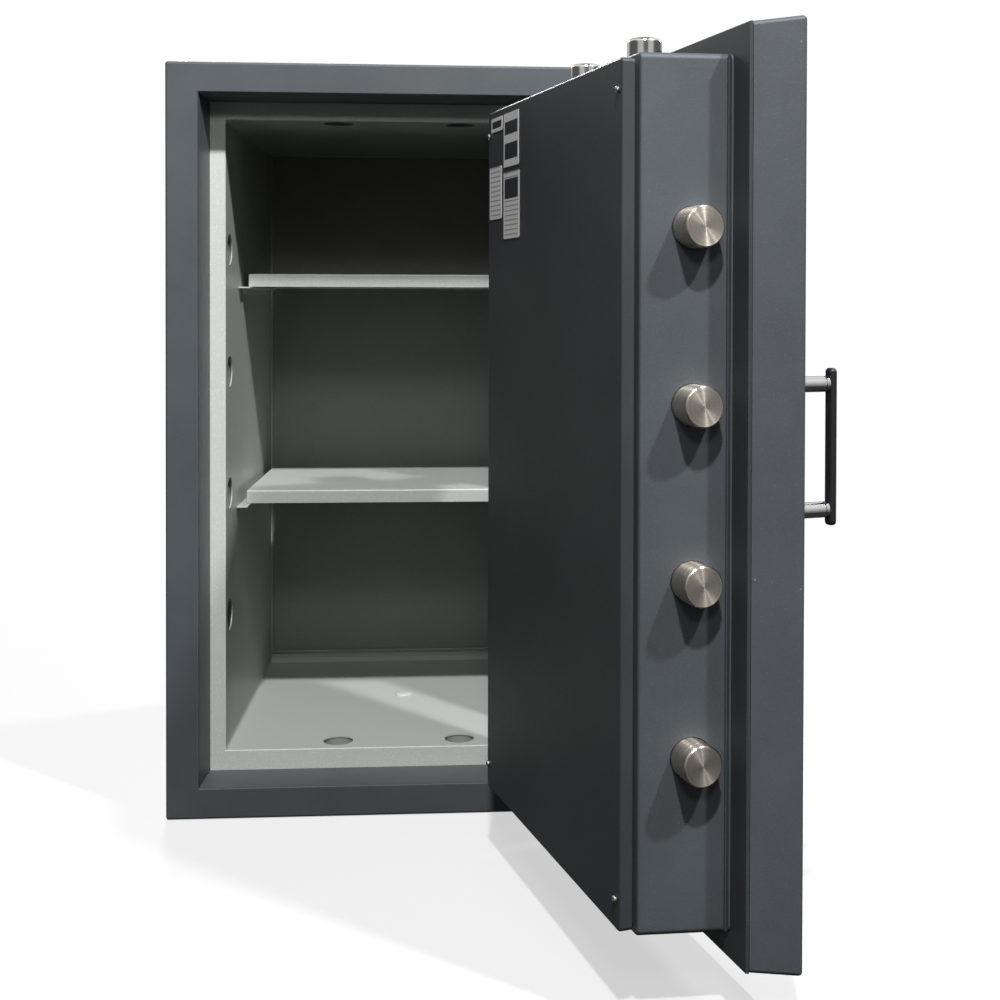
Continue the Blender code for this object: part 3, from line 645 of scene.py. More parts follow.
@dataclass(frozen=True)
class Label:
    """A paper label with plain dark blocks and ruled lines across it, and no lettering.

    Its foot, height, start and width are its place on the closed door. Each block gives its lower
    and upper edge as shares of the height. A label has blocks, lines or both.
    """

    name: str
    foot: float
    height: float
    start: float
    width: float
    blocks: tuple[tuple[float, float], ...]
    lines: int = 0
    margin: float = 0.004
    paper: tuple[float, float, float] = (0.97, 0.97, 0.96)
    ink: tuple[float, float, float] = (0.03, 0.03, 0.035)

    def build(self) -> bpy.types.Material:
        """Wire the material.

        Returns:
            The finished material.
        """
        n = Nodes(self.name)
        up = n.spread(n.up(n.coords), self.foot, self.foot + self.height, 0.0, 1.0)
        masks = [
            n.maths("COMPARE", up, (low + high) / 2, (high - low) / 2) for low, high in self.blocks
        ]
        if self.lines:
            wave = n.maths("FRACT", n.maths("MULTIPLY", up, float(self.lines)))
            masks.append(n.spread(wave, 0.70, 0.74, 0.0, 0.55))
        printed = masks[0]
        for mask in masks[1:]:
            printed = n.maths("MAXIMUM", printed, mask)
        there = DATUM.swing
        along = there.to_3x3() @ Vector((1, 0, 0))
        across = n.vector("DOT_PRODUCT", n.coords, along).outputs["Value"]
        middle = along.dot(there @ Vector((self.start + self.width / 2, 0, 0)))
        inside = n.maths("COMPARE", across, middle, self.width / 2 - self.margin)
        printed = n.maths("MULTIPLY", printed, inside)
        cloud = n.spread(n.noise(60.0, 3.0), 0.3, 0.7, 0.0, 1.0)
        paper = n.blend(cloud, self.paper, tuple(c * 0.92 for c in self.paper))
        n.link(n.blend(printed, paper, self.ink), n.shader.inputs["Base Color"])
        fine = n.noise(700.0, 2.0)
        n.link(n.spread(fine, 0.2, 0.8, 0.38, 0.55), n.shader.inputs["Roughness"])
        n.link(n.bump(fine, 0.00001, 0.5), n.shader.inputs["Normal"])
        return n.mat


Finish = PowderCoat | TurnedSteel | Plated | Moulded | Label


class Store:
    """The finishes of the safe, each built once."""

    coat = PowderCoat("charcoal_coat", (0.078, 0.090, 0.101), 0.52)
    dusty_coat = PowderCoat("charcoal_coat_dusty", (0.074, 0.084, 0.094), 0.52, dust=0.35)
    # about half as light as the charcoal coat: painted shade on the bolt cover and the slab's back
    # plate, which face away from the key lamp
    painted_shade_coat = PowderCoat("painted_shade_coat", (0.040, 0.045, 0.048), 0.50)
    flange_paint = PowderCoat("flange_paint", (0.65, 0.68, 0.64), 0.42, 0.00002, 0.02)
    # the lining's floor sheet is drawn lighter below 75 mm: painted light
    lining_paint = PowderCoat(
        "lining_paint", (0.42, 0.44, 0.41), 0.38, 0.00002, 0.03, painted_light_below=0.075, painted_light_gain=1.36
    )
    # a little lighter than the charcoal coat: painted light on the jamb plates, which catch the key lamp
    # beside the flange
    painted_light_jamb_coat = PowderCoat("painted_light_jamb_coat", (0.084, 0.095, 0.100), 0.46)
    back_paint = PowderCoat("back_paint", (0.20, 0.205, 0.185), 0.5, 0.00002, 0.04)
    shelf_paint = PowderCoat("shelf_paint", (0.52, 0.535, 0.52), 0.36, 0.00002, 0.03)
    chrome = Plated("bright_chrome", (0.78, 0.78, 0.77), 0.09)
    bolt_chrome = Plated("bolt_chrome", (0.86, 0.85, 0.82), 0.15)
    zinc = Plated("zinc_plate", (0.55, 0.55, 0.52), 0.36, 0.25)
    brass = Plated("lock_brass", (0.58, 0.43, 0.19), 0.34, 0.2)
    black = Moulded("satin_black", (0.016, 0.016, 0.018), 0.38)
    rubber = Moulded("black_rubber", (0.018, 0.018, 0.018), 0.82)
    fill = Moulded("fire_fill", (0.36, 0.37, 0.35), 0.95, 0.0002, 220.0)
    marking = Moulded("white_marking", (0.75, 0.75, 0.72), 0.6)
    plug = Moulded("pale_plug", (0.66, 0.67, 0.65), 0.35)

    def __init__(self) -> None:
        self._built: dict[str, bpy.types.Material] = {}

    def get(self, finish: Finish) -> bpy.types.Material:
        """The material of a finish."""
        if finish.name not in self._built:
            self._built[finish.name] = finish.build()
        return self._built[finish.name]


@dataclass
class Assembly:
    """What every sub-assembly can do: dress a piece, hang it on a body and report it."""

    store: Store

    def fit(
        self,
        ob: bpy.types.Object,
        finish: Finish,
        body: str,
        slot: str,
        replaces: Sequence[str] = (),
    ) -> None:
        """Finish a new piece.

        Args:
            ob: the piece, in place.
            finish: what it is painted or plated with.
            body: the CAD body that it moves with.
            slot: the record's material slot; not used.
            replaces: the CAD nodes that it stands for.
        """
        ob.data.materials.clear()
        ob.data.materials.append(self.store.get(finish))
        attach(ob, body)
        if replaces:
            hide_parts(*replaces)
        LOG.info("%s: %d faces on %s", ob.name, len(ob.data.polygons), body)

    def fit_to_door(
        self,
        ob: bpy.types.Object,
        finish: Finish,
        slot: str,
        replaces: Sequence[str],
        body: str = "door",
        angle: float = 32.0,
    ) -> None:
        """Smooth a piece made on the closed door, turn it to where the door stands and fit it."""
        Bench.shade(ob, angle)
        Bench.hang(ob)
        self.fit(ob, finish, body, slot, replaces)

    def dress(self, node: str, finish: Finish) -> None:
        """Give a CAD node that stays in view its detailed material."""
        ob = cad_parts[node]
        for s in ob.material_slots:
            s.material = self.store.get(finish)
        LOG.info("%s: CAD node in %s", node, finish.name)


@dataclass
class Carcass(Assembly):
    """The outer body: shell with a front border, tapered jamb and the cast fill inside."""

    sheet: float = 0.004
    front_sheet: float = 0.005
    jamb_sheet: float = 0.003
    corner: float = 0.0035
    mouth_edge: float = 0.0014

    def build(self) -> None:
        """Make the shell and the jamb."""
        d = DATUM
        x, y = d.width / 2, d.depth / 2
        shell = Bench.block("safe_shell", (-x, -y, 0), (x, y, d.height))
        Bench.round_edges(shell, lambda m, v: True, self.corner, 5)
        t = self.sheet
        room = Bench.block(
            "room", (-x + t, -y + self.front_sheet, t), (x - t, y - t, d.height - t)
        )
        Bench.cut(shell, room)
        y0, y1 = d.front - 0.01, d.front + self.front_sheet + 0.01
        Bench.cut(shell, Bench.plug("mouth", y0, d.throat(y0), y1, d.throat(y1)))
        x0, x1, z0, z1 = d.opening
        near = 0.0006

        def mouth(m: Vector, v: Vector) -> bool:
            on_x = abs(abs(m.x) - x1) < near and abs(v.z) > 0.9
            on_z = min(abs(m.z - z0), abs(m.z - z1)) < near and abs(v.x) > 0.9
            return abs(m.y - d.front) < near and (on_x or on_z)

        Bench.round_edges(shell, mouth, self.mouth_edge, 3)
        self.seam(shell)
        Bench.shade(shell)
        self.fit(shell, Store.coat, "body", "charcoal_coat", ["body_shell"])
        self.jamb()
        self.dress("body_fire_fill", Store.fill)

    def seam(self, shell: bpy.types.Object) -> None:
        """Let the welded back plate read as its own plate: a shallow groove all round."""
        d = DATUM
        inset, wide, deep = 0.012, 0.0012, 0.0008
        x, z0, z1 = d.width / 2 - inset, inset, d.height - inset
        y = d.depth / 2
        outer = Bench.block("groove", (-x, y - deep, z0), (x, y + 0.01, z1))
        inner = Bench.block(
            "core", (-x + wide, y - 0.01, z0 + wide), (x - wide, y + 0.02, z1 - wide)
        )
        Bench.cut(outer, inner)
        Bench.cut(shell, outer)

    def jamb(self) -> None:
        """The four jamb plates as one ring with a broken inner edge."""
        d = DATUM
        y0, y1 = d.front + self.front_sheet + d.gap, d.flange - d.gap
        t = self.jamb_sheet
        ring = Bench.plug("safe_jamb", y0, d.throat(y0, t), y1, d.throat(y1, t))
        a, b = y0 - 0.01, y1 + 0.01
        Bench.cut(ring, Bench.plug("hole", a, d.throat(a), b, d.throat(b)))
        Bench.soften(ring, 0.0006, 2)
        Bench.shade(ring)
        # the jamb's lighter coat is painted light
        self.fit(ring, Store.painted_light_jamb_coat, "body", "charcoal_coat", ["door_jamb"])


@dataclass
class Lining(Assembly):
    """The light sheet lining: flange, walls with bolt holes, raised back board, floor plug."""

    sheet: float = 0.002
    corner: float = 0.0035
    overlap: float = 0.0028
    rolled_edge: float = 0.0017
    hole: float = 0.0205
    end_hole: float = 0.0195
    bolt_line: float = 0.0894
    bolt_z: tuple[float, ...] = (0.2390, 0.3990, 0.5590, 0.7190)
    end_bolt_x: tuple[float, ...] = (-0.0930, 0.0670)
    board: float = 0.008
    board_foot: float = 0.019
    board_side: float = 0.0022
    board_gap: float = 0.0006
    board_play: float = 0.0004
    plug_radius: float = 0.0125
    plug_x: float = -0.0154
    plug_back: float = 0.247
    slot_y: tuple[float, float] = (0.0585, 0.0889)
    slot_z: tuple[float, float] = (0.206, 0.752)

    def build(self) -> None:
        """Make the flange, the walls, the back board and the plug."""
        self.flange()
        self.walls()
        self.back_board()
        self.floor_plug()

    def flange(self) -> None:
        """The flange ring with rolled inner edges."""
        d = DATUM
        rim = d.throat(d.flange, self.overlap)
        ring = Bench.plug("lining_flange", d.flange, rim, d.flange + self.sheet, rim)
        room = d.room
        Bench.cut(ring, Bench.plug("hole", d.flange - 0.01, room, d.flange + 0.01, room))
        near = 0.0006

        def inner_front(m: Vector, v: Vector) -> bool:
            on_x = min(abs(m.x - room[0]), abs(m.x - room[1])) < near
            on_z = min(abs(m.z - room[2]), abs(m.z - room[3])) < near
            return abs(m.y - d.flange) < near and (on_x or on_z)

        Bench.round_edges(ring, inner_front, self.rolled_edge, 4)
        Bench.shade(ring)
        self.fit(ring, Store.flange_paint, "body", "light_grey_paint", ["liner_flange"])

    def walls(self) -> None:
        """Four wall sheets with their bolt holes, as one folded box."""
        d = DATUM
        x0, x1, z0, z1 = d.room
        y0, y1 = d.flange + self.sheet + d.gap, d.back
        t = self.sheet
        box = Bench.block("lining_walls", (x0 - t, y0, z0 - t), (x1 + t, y1, z1 + t))
        void = Bench.block("void", (x0, y0 - 0.01, z0), (x1, y1 + 0.01, z1))
        Bench.round_edges(void, lambda m, v: abs(v.y) > 0.9, self.corner, 4)
        Bench.cut(box, void)
        y = d.front + self.bolt_line
        for i, z in enumerate(self.bolt_z):
            Bench.cut(box, Bench.rod(f"h{i}", (x0 + 0.01, y, z), (x0 - 0.01, y, z), self.hole))
        for i, x in enumerate(self.end_bolt_x):
            for z in (z0, z1):
                at = Vector((x, y, z))
                up = Vector((0, 0, 0.01))
                Bench.cut(box, Bench.rod(f"e{i}", at - up, at + up, self.end_hole))
        plug = Vector((self.plug_x, d.flange + self.plug_back, z0))
        up = Vector((0, 0, 0.01))
        Bench.cut(box, Bench.rod("p", plug - up, plug + up, self.plug_radius * 0.7, 32))
        (ya, yb), (za, zb) = self.slot_y, self.slot_z
        low, high = (x1 - 0.01, d.front + ya, za), (x1 + 0.01, d.front + yb, zb)
        Bench.cut(box, Bench.block("slot", low, high))
        Bench.soften(box, 0.0005, 2)
        Bench.shade(box)
        self.fit(
            box,
            Store.lining_paint,
            "body",
            "light_grey_paint",
            ["liner_left", "liner_right", "liner_top", "liner_floor"],
        )

    def back_board(self) -> None:
        """The back sheet with its light rim, and the darker board set into it."""
        d = DATUM
        x0, x1, z0, z1 = d.room
        t = self.sheet
        edge = d.back + d.gap
        sheet = Bench.block("lining_back", (x0 - t, edge, z0 - t), (x1 + t, edge + t, z1 + t))
        y0, y1 = d.back - self.board, edge + t / 2
        gap = self.board_gap
        rim = (x0 + gap, x1 - gap, z0 + self.board_foot, z1 - gap)
        ring = Bench.plug("rim", y0, rim, y1, rim)
        inner = moved(rim, self.board_side)
        Bench.cut(ring, Bench.plug("hole", y0 - 0.01, inner, edge, inner))
        Bench.cut(sheet, ring, "UNION")
        Bench.soften(sheet, 0.0005, 2)
        Bench.shade(sheet)
        self.fit(sheet, Store.lining_paint, "body", "light_grey_paint", ["liner_back"])
        face = moved(inner, self.board_play)
        board = Bench.plug("back_board", y0 + gap, face, d.back - d.gap, face)
        Bench.soften(board, 0.0008, 3)
        Bench.shade(board)
        self.fit(board, Store.back_paint, "body", "light_grey_paint")

    def floor_plug(self) -> None:
        """The domed blanking plug in the floor."""
        at = Vector((self.plug_x, DATUM.flange + self.plug_back, DATUM.room[2]))
        r = self.plug_radius
        steps = [
            (-0.010, r * 0.52),
            (-0.0085, r * 0.6),
            (-0.0001, r * 0.6),
            (0.0000, r * 0.98),
            (0.0006, r),
            (0.0014, r * 0.97),
            (0.0022, r * 0.86),
            (0.0028, r * 0.62),
            (0.0030, r * 0.30),
            (0.0030, r * 0.05),
        ]
        ob = Bench.turned("floor_blank", at, (0, 0, 1), steps, 48)
        Bench.shade(ob, 40)
        self.fit(ob, Store.plug, "body", "black_plastic", ["floor_plug"])


@dataclass
class Shelf(Assembly):
    """One folded shelf tray on two angle runners."""

    name: str
    body: str
    top: float
    setback: float
    depth: float = 0.263
    height: float = 0.0180
    sheet: float = 0.002
    side_gap: float = 0.0097
    bend: float = 0.0024
    hem: float = 0.012
    runner_width: float = 0.0150
    runner_drop: float = 0.010
    runner_lead: float = 0.026
    runner_back: float = 0.030

    def build(self) -> None:
        """Make the tray and its runners."""
        d = DATUM
        x = d.room[1] - self.side_gap
        y0 = d.flange + self.setback
        y1 = y0 + self.depth
        self.tray(x, y0, y1)
        for side in Side:
            self.runner(side, y0 - self.runner_lead, y1 - self.runner_back)

    def tray(self, x: float, y0: float, y1: float) -> None:
        """The shelf: top sheet with folded skirts and a hem under the front one."""
        low, high = Vector((-x, y0, self.top - self.height)), Vector((x, y1, self.top))
        ob = Bench.block(f"{self.name}_tray", low, high)
        Bench.round_edges(ob, lambda m, v: m.z > self.top - 0.001 or abs(v.z) > 0.9, self.bend, 5)
        t = self.sheet
        void = Bench.block(
            "void", (-x + t, y0 + self.hem, low.z - 0.01), (x - t, y1 - self.hem, self.top - t)
        )
        Bench.cut(ob, void)
        for a, b in ((y0 + t, y0 + self.hem + 0.001), (y1 - self.hem - 0.001, y1 - t)):
            Bench.cut(ob, Bench.block("fold", (-x + t, a, low.z + t), (x - t, b, self.top - t)))
        Bench.soften(ob, 0.0006, 2)
        Bench.shade(ob)
        self.fit(ob, Store.shelf_paint, self.body, "light_grey_paint", [self.name])

    def runner(self, side: Side, y0: float, y1: float) -> None:
        """An angle runner with a round bend, whose leg starts under the front of the shelf."""
        s = side.value
        wall = s * (DATUM.room[1] - DATUM.gap)
        lip = wall - s * self.runner_width
        z = self.top - self.height - DATUM.gap
        lo, hi = sorted((wall, lip))
        ob = Bench.block(
            f"{self.name}_angle_{side.name.lower()}", (lo, y0, z - self.runner_drop), (hi, y1, z)
        )
        lo, hi = sorted((wall - s * self.sheet, lip - s * 0.01))
        Bench.cut(
            ob, Bench.block("cut", (lo, y0 - 0.01, z - 0.03), (hi, y1 + 0.01, z - self.sheet))
        )
        far = y0 + self.runner_lead
        low, high = (lo - 0.02, y0 - 0.01, z - 0.03), (hi + 0.02, far, z - self.sheet)
        Bench.cut(ob, Bench.block("notch", low, high))
        Bench.soften(ob, 0.0007, 3)
        Bench.shade(ob)
        node = f"{self.name}_runner_{side.name.lower()}"
        self.fit(ob, Store.shelf_paint, "body", "light_grey_paint", [node])


@dataclass
class BarrelHinge(Assembly):
    """One lift-off hinge: two knuckles with leaves and a pin."""

    tag: str
    foot: float
    radius: float = 0.0155
    knuckle: float = 0.036
    bore: float = 0.0074
    pin: float = 0.0070
    leaf: float = 0.027
    door_leaf: float = 0.080

    def build(self) -> None:
        """Make both knuckles and the pin."""
        d = DATUM
        p = d.pivot
        low = self.foot
        y, h = d.front - d.gap, self.knuckle
        leaf = Bench.block("leaf", (p.x, p.y, low), (p.x + self.leaf, y, low + h))
        self.part(f"knuckle_{self.tag}_lower", low, leaf, False)
        up = low + h + 2 * d.gap
        leaf = Bench.block("leaf", (p.x - self.door_leaf, p.y, up), (p.x, y, up + h))
        self.part(f"knuckle_{self.tag}_upper", up, leaf, True)
        self.pin_piece(p, low)

    def part(self, name: str, z: float, leaf: bpy.types.Object, on_door: bool) -> None:
        """One knuckle with its leaf.

        Args:
            name: the piece's name.
            z: height of its lower end.
            leaf: the leaf block, which is used up.
            on_door: whether it moves with the door.
        """
        p = Vector((DATUM.pivot.x, DATUM.pivot.y, z))
        r, h = self.radius, self.knuckle
        steps = [(0, r - 0.0012), (0.0012, r), (h - 0.0012, r), (h, r - 0.0012)]
        ob = Bench.turned(name, p, (0, 0, 1), steps, 64)
        Bench.soften(leaf, 0.0025, 4)
        Bench.cut(ob, leaf, "UNION")
        up = Vector((0, 0, 0.1))
        Bench.cut(ob, Bench.rod("bore", p - up, p + up, self.bore, 48))
        Bench.shade(ob)
        if on_door:
            Bench.hang(ob)
        node = f"hinge_{self.tag}_{'door' if on_door else 'body'}"
        self.fit(ob, Store.coat, "door" if on_door else "body", "charcoal_coat", [node])

    def pin_piece(self, p: Vector, low: float) -> None:
        """The hinge pin with its domed foot."""
        r, g = self.pin, DATUM.gap
        top = 2 * self.knuckle + 0.001
        steps = [
            (-0.0053, 0.0060),
            (-0.0048, 0.0085),
            (-0.0036, 0.0098),
            (-g - 0.0004, 0.0098),
            (-g, 0.0094),
            (-g + 0.0001, r),
            (top - 0.0008, r),
            (top, r - 0.0008),
        ]
        ob = Bench.turned(f"hinge_pin_{self.tag}", (p.x, p.y, low), (0, 0, 1), steps, 48)
        Bench.shade(ob, 40)
        steel = TurnedSteel(f"pin_steel_{self.tag}", (p.x, p.y, low), (0, 0, 1), rough=0.3)
        self.fit(ob, steel, "hinge_pins", "brushed_steel", [f"hinge_{self.tag}_pin"])


@dataclass
class DoorSizes:
    """The sizes of the closed door that its pieces share, in metres."""

    left_gap: float = 0.0055
    right_gap: float = 0.0055
    top_gap: float = 0.0045
    bottom_gap: float = 0.0080
    thick: float = 0.0539
    taper_open: float = 0.0095
    taper_hinge: float = 0.0060
    taper_end: float = 0.0080
    skin: float = 0.004
    plate: float = 0.0035
    box_open_inset: float = 0.0299
    box_hinge_inset: float = 0.0300
    box_end_inset: float = 0.0235
    box_bevel_deg: float = 13.4
    box_depth: float = 0.0830
    spacer: float = 0.0040
    cover: float = 0.0125
    cover_inset: float = 0.0015
    cover_end_inset: float = 0.0055
    bolt_back: float = 0.0355

    @property
    def outer(self) -> Rect:
        """The slab outline on its outer face."""
        x0, x1, z0, z1 = DATUM.opening
        return x0 + self.left_gap, x1 - self.right_gap, z0 + self.bottom_gap, z1 - self.top_gap

    @property
    def inner(self) -> Rect:
        """The slab outline on its inner face."""
        x0, x1, z0, z1 = self.outer
        e = self.taper_end
        return x0 + self.taper_open, x1 - self.taper_hinge, z0 + e, z1 - e

    def slab(self, y: float) -> Rect:
        """The slab outline at one depth."""
        k = (y - DATUM.front) / self.thick
        return tuple(a + (b - a) * k for a, b in zip(self.outer, self.inner))

    @property
    def inner_y(self) -> float:
        """The Y of the slab's inner face."""
        return DATUM.front + self.thick

    @property
    def box_y(self) -> tuple[float, float]:
        """The Y of the bolt box at the slab and at the cover."""
        y = self.inner_y + DATUM.gap
        return y, y + self.box_depth

    def box(self, y: float, inwards: float = 0.0) -> Rect:
        """The bolt box outline at one depth, moved inwards."""
        x0, x1, z0, z1 = self.inner
        slope = math.tan(math.radians(self.box_bevel_deg))
        x = x0 + self.box_open_inset + slope * (y - self.box_y[0])
        z = self.box_end_inset
        return moved((x, x1 - self.box_hinge_inset, z0 + z, z1 - z), inwards)

    @property
    def cover_y(self) -> tuple[float, float]:
        """The Y of the cover's two faces."""
        y = self.box_y[1] + self.spacer + DATUM.gap
        return y, y + self.cover

    @property
    def cover_rect(self) -> Rect:
        """The cover's outline."""
        x0, x1, z0, z1 = self.box(self.cover_y[0])
        c, e = self.cover_inset, self.cover_end_inset
        return x0 + c, x1 - c, z0 + e, z1 - e

    @property
    def bolt_y(self) -> float:
        """The Y of the line of the live bolts."""
        return self.inner_y + self.bolt_back


DOOR = DoorSizes()


@dataclass(frozen=True)
class Spindle:
    """Where a handle or dial turns: its X and Z on the closed door and its hole's radius."""

    x: float
    z: float
    hole: float

    def bore(self, start: float, end: float, sides: int = 32) -> bpy.types.Object:
        """A drill for the hole, from one depth to another."""
        return Bench.rod("drill", (self.x, start, self.z), (self.x, end, self.z), self.hole, sides)


HANDLE = Spindle(0.030, 0.470, 0.0086)
DIAL = Spindle(0.030, 0.640, 0.0046)


@dataclass
class DoorSlab(Assembly):
    """The slab: tapered outer skin, cast fill, and a back plate drawn darker as painted shade."""

    edge: float = 0.0045

    def build(self) -> None:
        """Make the skin and the back plate, and dress the fill."""
        d, s = DATUM, DOOR
        y1 = s.inner_y - s.plate - d.gap
        skin = Bench.plug("slab_skin", d.front, s.outer, y1, s.slab(y1))
        Bench.round_edges(skin, lambda m, v: m.y < y1 - 0.001, self.edge, 5)
        t = s.skin
        far = y1 + 0.004
        void = Bench.plug("void", d.front + t, moved(s.outer, t), far, moved(s.slab(far), t))
        Bench.cut(skin, void)
        self.holes(skin)
        self.fit_to_door(skin, Store.dusty_coat, "charcoal_coat", ["door_skin"])
        y0 = s.inner_y - s.plate
        plate = Bench.plug("slab_back_plate", y0, s.slab(y1), s.inner_y, s.inner)
        self.holes(plate)
        Bench.soften(plate, 0.0006, 2)
        # the back plate takes the darker coat: painted shade
        self.fit_to_door(plate, Store.painted_shade_coat, "dark_coat", ["door_back_plate"])
        self.dress("door_fire_fill", Store.fill)

    def holes(self, ob: bpy.types.Object) -> None:
        """Drill the holes of the handle and the dial."""
        for spindle in (HANDLE, DIAL):
            Bench.cut(ob, spindle.bore(DATUM.front - 0.02, DOOR.inner_y + 0.02))


@dataclass
class BoltBox(Assembly):
    """The folded box round the bolt-work, its screwed cover, seal and dead bar."""

    sheet: float = 0.003
    lip: float = 0.014
    corner: float = 0.0065
    foot_round: float = 0.0095
    foot_lip: float = 0.0016
    bolt_radius: float = 0.0196
    end_bolt_radius: float = 0.0176
    screw_edge: float = 0.0078
    screw_end: float = 0.0285
    screw_radius: float = 0.0035
    screw_hole: float = 0.0026
    bar_back: float = 0.0090
    bar_thick: float = 0.022
    bar_reach: float = 0.0240
    bar_z: tuple[float, float] = (0.210, 0.748)

    def build(self) -> None:
        """Make the box, the dead bar, the cover with its spacer and screws, and the stickers."""
        self.box()
        self.dead_bar()
        self.cover()
        self.stickers()

    def box(self) -> None:
        """The box with its bends, holes and the return lip behind the cover."""
        s = DOOR
        y0, y1 = s.box_y
        ob = Bench.plug("work_box", y0, s.box(y0), y1, s.box(y1))
        x_end, x_hinge, z0, z1 = s.box(y0)

        def along(m: Vector, v: Vector) -> bool:
            return abs(v.y) > 0.5

        def at_cover(m: Vector, v: Vector) -> bool:
            return m.y > y1 - 0.0005 and abs(v.y) < 0.5

        Bench.round_edges(ob, along, self.corner, 5)
        Bench.round_edges(ob, at_cover, 0.0024, 4)
        self.foot(ob, x_end, y0 + self.foot_lip, z0, z1)
        t = self.sheet
        a, b = y0 + 0.010, y1 - t
        Bench.cut(ob, Bench.plug("void", a, s.box(a, t), b, s.box(b, t)))
        far = y0 - 0.01
        inner = (x_end + 0.012, x_hinge - t, z0 + t, z1 - t)
        Bench.cut(ob, Bench.plug("mouth", far, inner, a + 0.001, inner))
        win = s.box(y1, self.lip + t)
        Bench.cut(ob, Bench.plug("window", y1 - 0.02, win, y1 + 0.01, win))
        for i, z in enumerate(Lining.bolt_z):
            at = (x_end - 0.02, s.bolt_y, z)
            tool = Bench.rod(f"b{i}", at, (x_end + 0.05, s.bolt_y, z), self.bolt_radius)
            Bench.cut(ob, tool)
        for i, x in enumerate(Lining.end_bolt_x):
            for z in (z0, z1):
                r = self.end_bolt_radius
                tool = Bench.rod(f"e{i}", (x, s.bolt_y, z - 0.01), (x, s.bolt_y, z + 0.01), r)
                Bench.cut(ob, tool)
        for x, z in self.screws():
            Bench.cut(ob, Bench.rod("s", (x, y1 - 0.01, z), (x, y1 + 0.01, z), self.screw_hole, 20))
        self.fit_to_door(ob, Store.coat, "charcoal_coat", ["bolt_box"])

    def foot(self, ob: bpy.types.Object, x: float, y: float, z0: float, z1: float) -> None:
        """Bend the box's foot in a large round and leave its thin flange on the slab.

        Args:
            ob: the box.
            x: the opening side of the box at the slab.
            y: where the flange ends and the round begins.
            z0: lower end of the box.
            z1: upper end of the box.
        """
        r = self.foot_round
        low, high = z0 - 0.02, z1 + 0.02
        tool = Bench.block("bend", (x - 0.02, y, low), (x + r * 0.55, y + r, high))
        Bench.cut(tool, Bench.rod("form", (x + r, y + r, low - 1), (x + r, y + r, high + 1), r, 48))
        Bench.cut(ob, tool)

    def dead_bar(self) -> None:
        """The fixed bar that hooks behind the flange on the hinge side."""
        x = DOOR.box(DOOR.box_y[0])[1]
        y = DOOR.inner_y + self.bar_back
        z0, z1 = self.bar_z
        end = x + self.bar_reach
        ob = Bench.block("hinge_side_bar", (x + DATUM.gap, y, z0), (end, y + self.bar_thick, z1))
        Bench.round_edges(ob, lambda m, v: m.x > end - 0.004, 0.003, 4)
        self.fit_to_door(ob, Store.coat, "charcoal_coat", ["dead_bar"])

    def screws(self) -> list[tuple[float, float]]:
        """The places of the cover screws as x, z."""
        x0, x1, z0, z1 = DOOR.cover_rect
        e, f = self.screw_edge, self.screw_end
        return [(x, z) for x in (x0 + e, x1 - e) for z in (z0 + f, z1 - f)]

    def cover(self) -> None:
        """The cover pan with bent edges, the spacer under it and the screws."""
        s, g = DOOR, DATUM.gap
        rect = s.cover_rect
        seat = moved(rect, 0.0050)
        y0, y1 = s.cover_y
        ring = Bench.plug("cover_seal", s.box_y[1] + g, seat, y0 - g, seat)
        inner = moved(seat, 0.010)
        Bench.cut(ring, Bench.plug("hole", s.box_y[1] - 0.01, inner, y0 + 0.01, inner))
        pan = Bench.plug("cover_pan", y0, rect, y1, rect)
        Bench.round_edges(pan, lambda m, v: abs(v.y) > 0.5, 0.0045, 5)
        Bench.round_edges(pan, lambda m, v: m.y > y1 - 0.0005 and abs(v.y) < 0.5, 0.0026, 4)
        room = moved(rect, 0.016)
        Bench.cut(pan, Bench.plug("void", y0 - 0.01, room, y1 - 0.002, room))
        for x, z in self.screws():
            for ob in (ring, pan):
                Bench.cut(ob, Bench.rod("s", (x, y0 - 0.02, z), (x, y1 + 0.01, z), self.screw_hole, 20))
        for ob, finish, slot, node in (
            (ring, Store.rubber, "black_rubber", "cover_spacer"),
            # the cover pan takes the darker coat: painted shade
            (pan, Store.painted_shade_coat, "dark_coat", "bolt_cover"),
        ):
            self.fit_to_door(ob, finish, slot, [node])
        for i, (x, z) in enumerate(self.screws()):
            self.screw(i + 1, Vector((x, y1 + g, z)))

    def screw(self, number: int, at: Vector) -> None:
        """A button head screw with a hexagon socket."""
        r = self.screw_radius
        steps = [
            (-0.020, 0.0017),
            (-0.0195, 0.0020),
            (-0.0001, 0.0020),
            (0.0, r * 0.96),
            (0.0005, r),
            (0.0014, r * 0.97),
            (0.0022, r * 0.88),
            (0.0028, r * 0.70),
            (0.0030, r * 0.52),
        ]
        ob = Bench.turned(f"cap_screw_{number}", at, (0, 1, 0), steps, 32)
        tip = at + Vector((0, 0.0035, 0))
        Bench.cut(ob, Bench.rod("hex", tip, tip - Vector((0, 0.0022, 0)), r * 0.45, 6))
        self.fit_to_door(ob, Store.chrome, "chrome", [f"cover_screw_{number}"], angle=40)

    def stickers(self) -> None:
        """Stickers with rounded corners, plain blocks and rules, and no words."""
        y = DOOR.cover_y[1] + DATUM.gap
        x1 = DOOR.cover_rect[1]
        sheets = (
            (0.0610, 0.8020, 0.0540, 0.0600, ((0.14, 0.44), (0.60, 0.84)), 0),
            (0.0610, 0.7220, 0.0560, 0.0740, ((0.60, 0.90),), 14),
            (0.0140, 0.8460, 0.0420, 0.0160, ((0.25, 0.75),), 0),
            (0.0080, 0.7460, 0.0450, 0.0600, (), 11),
        )
        for i, (inset, z, w, h, blocks, lines) in enumerate(sheets):
            x = x1 - inset
            finish = Label(f"label_{i + 1}", z, h, x - w, w, blocks, lines)
            ob = Bench.block(f"blank_sticker_{i + 1}", (x - w, y, z), (x, y + 0.0004, z + h))
            Bench.round_edges(ob, lambda m, v: abs(v.y) > 0.9, 0.002, 4)
            self.fit_to_door(ob, finish, "sticker", [f"sticker_{i + 1}"])


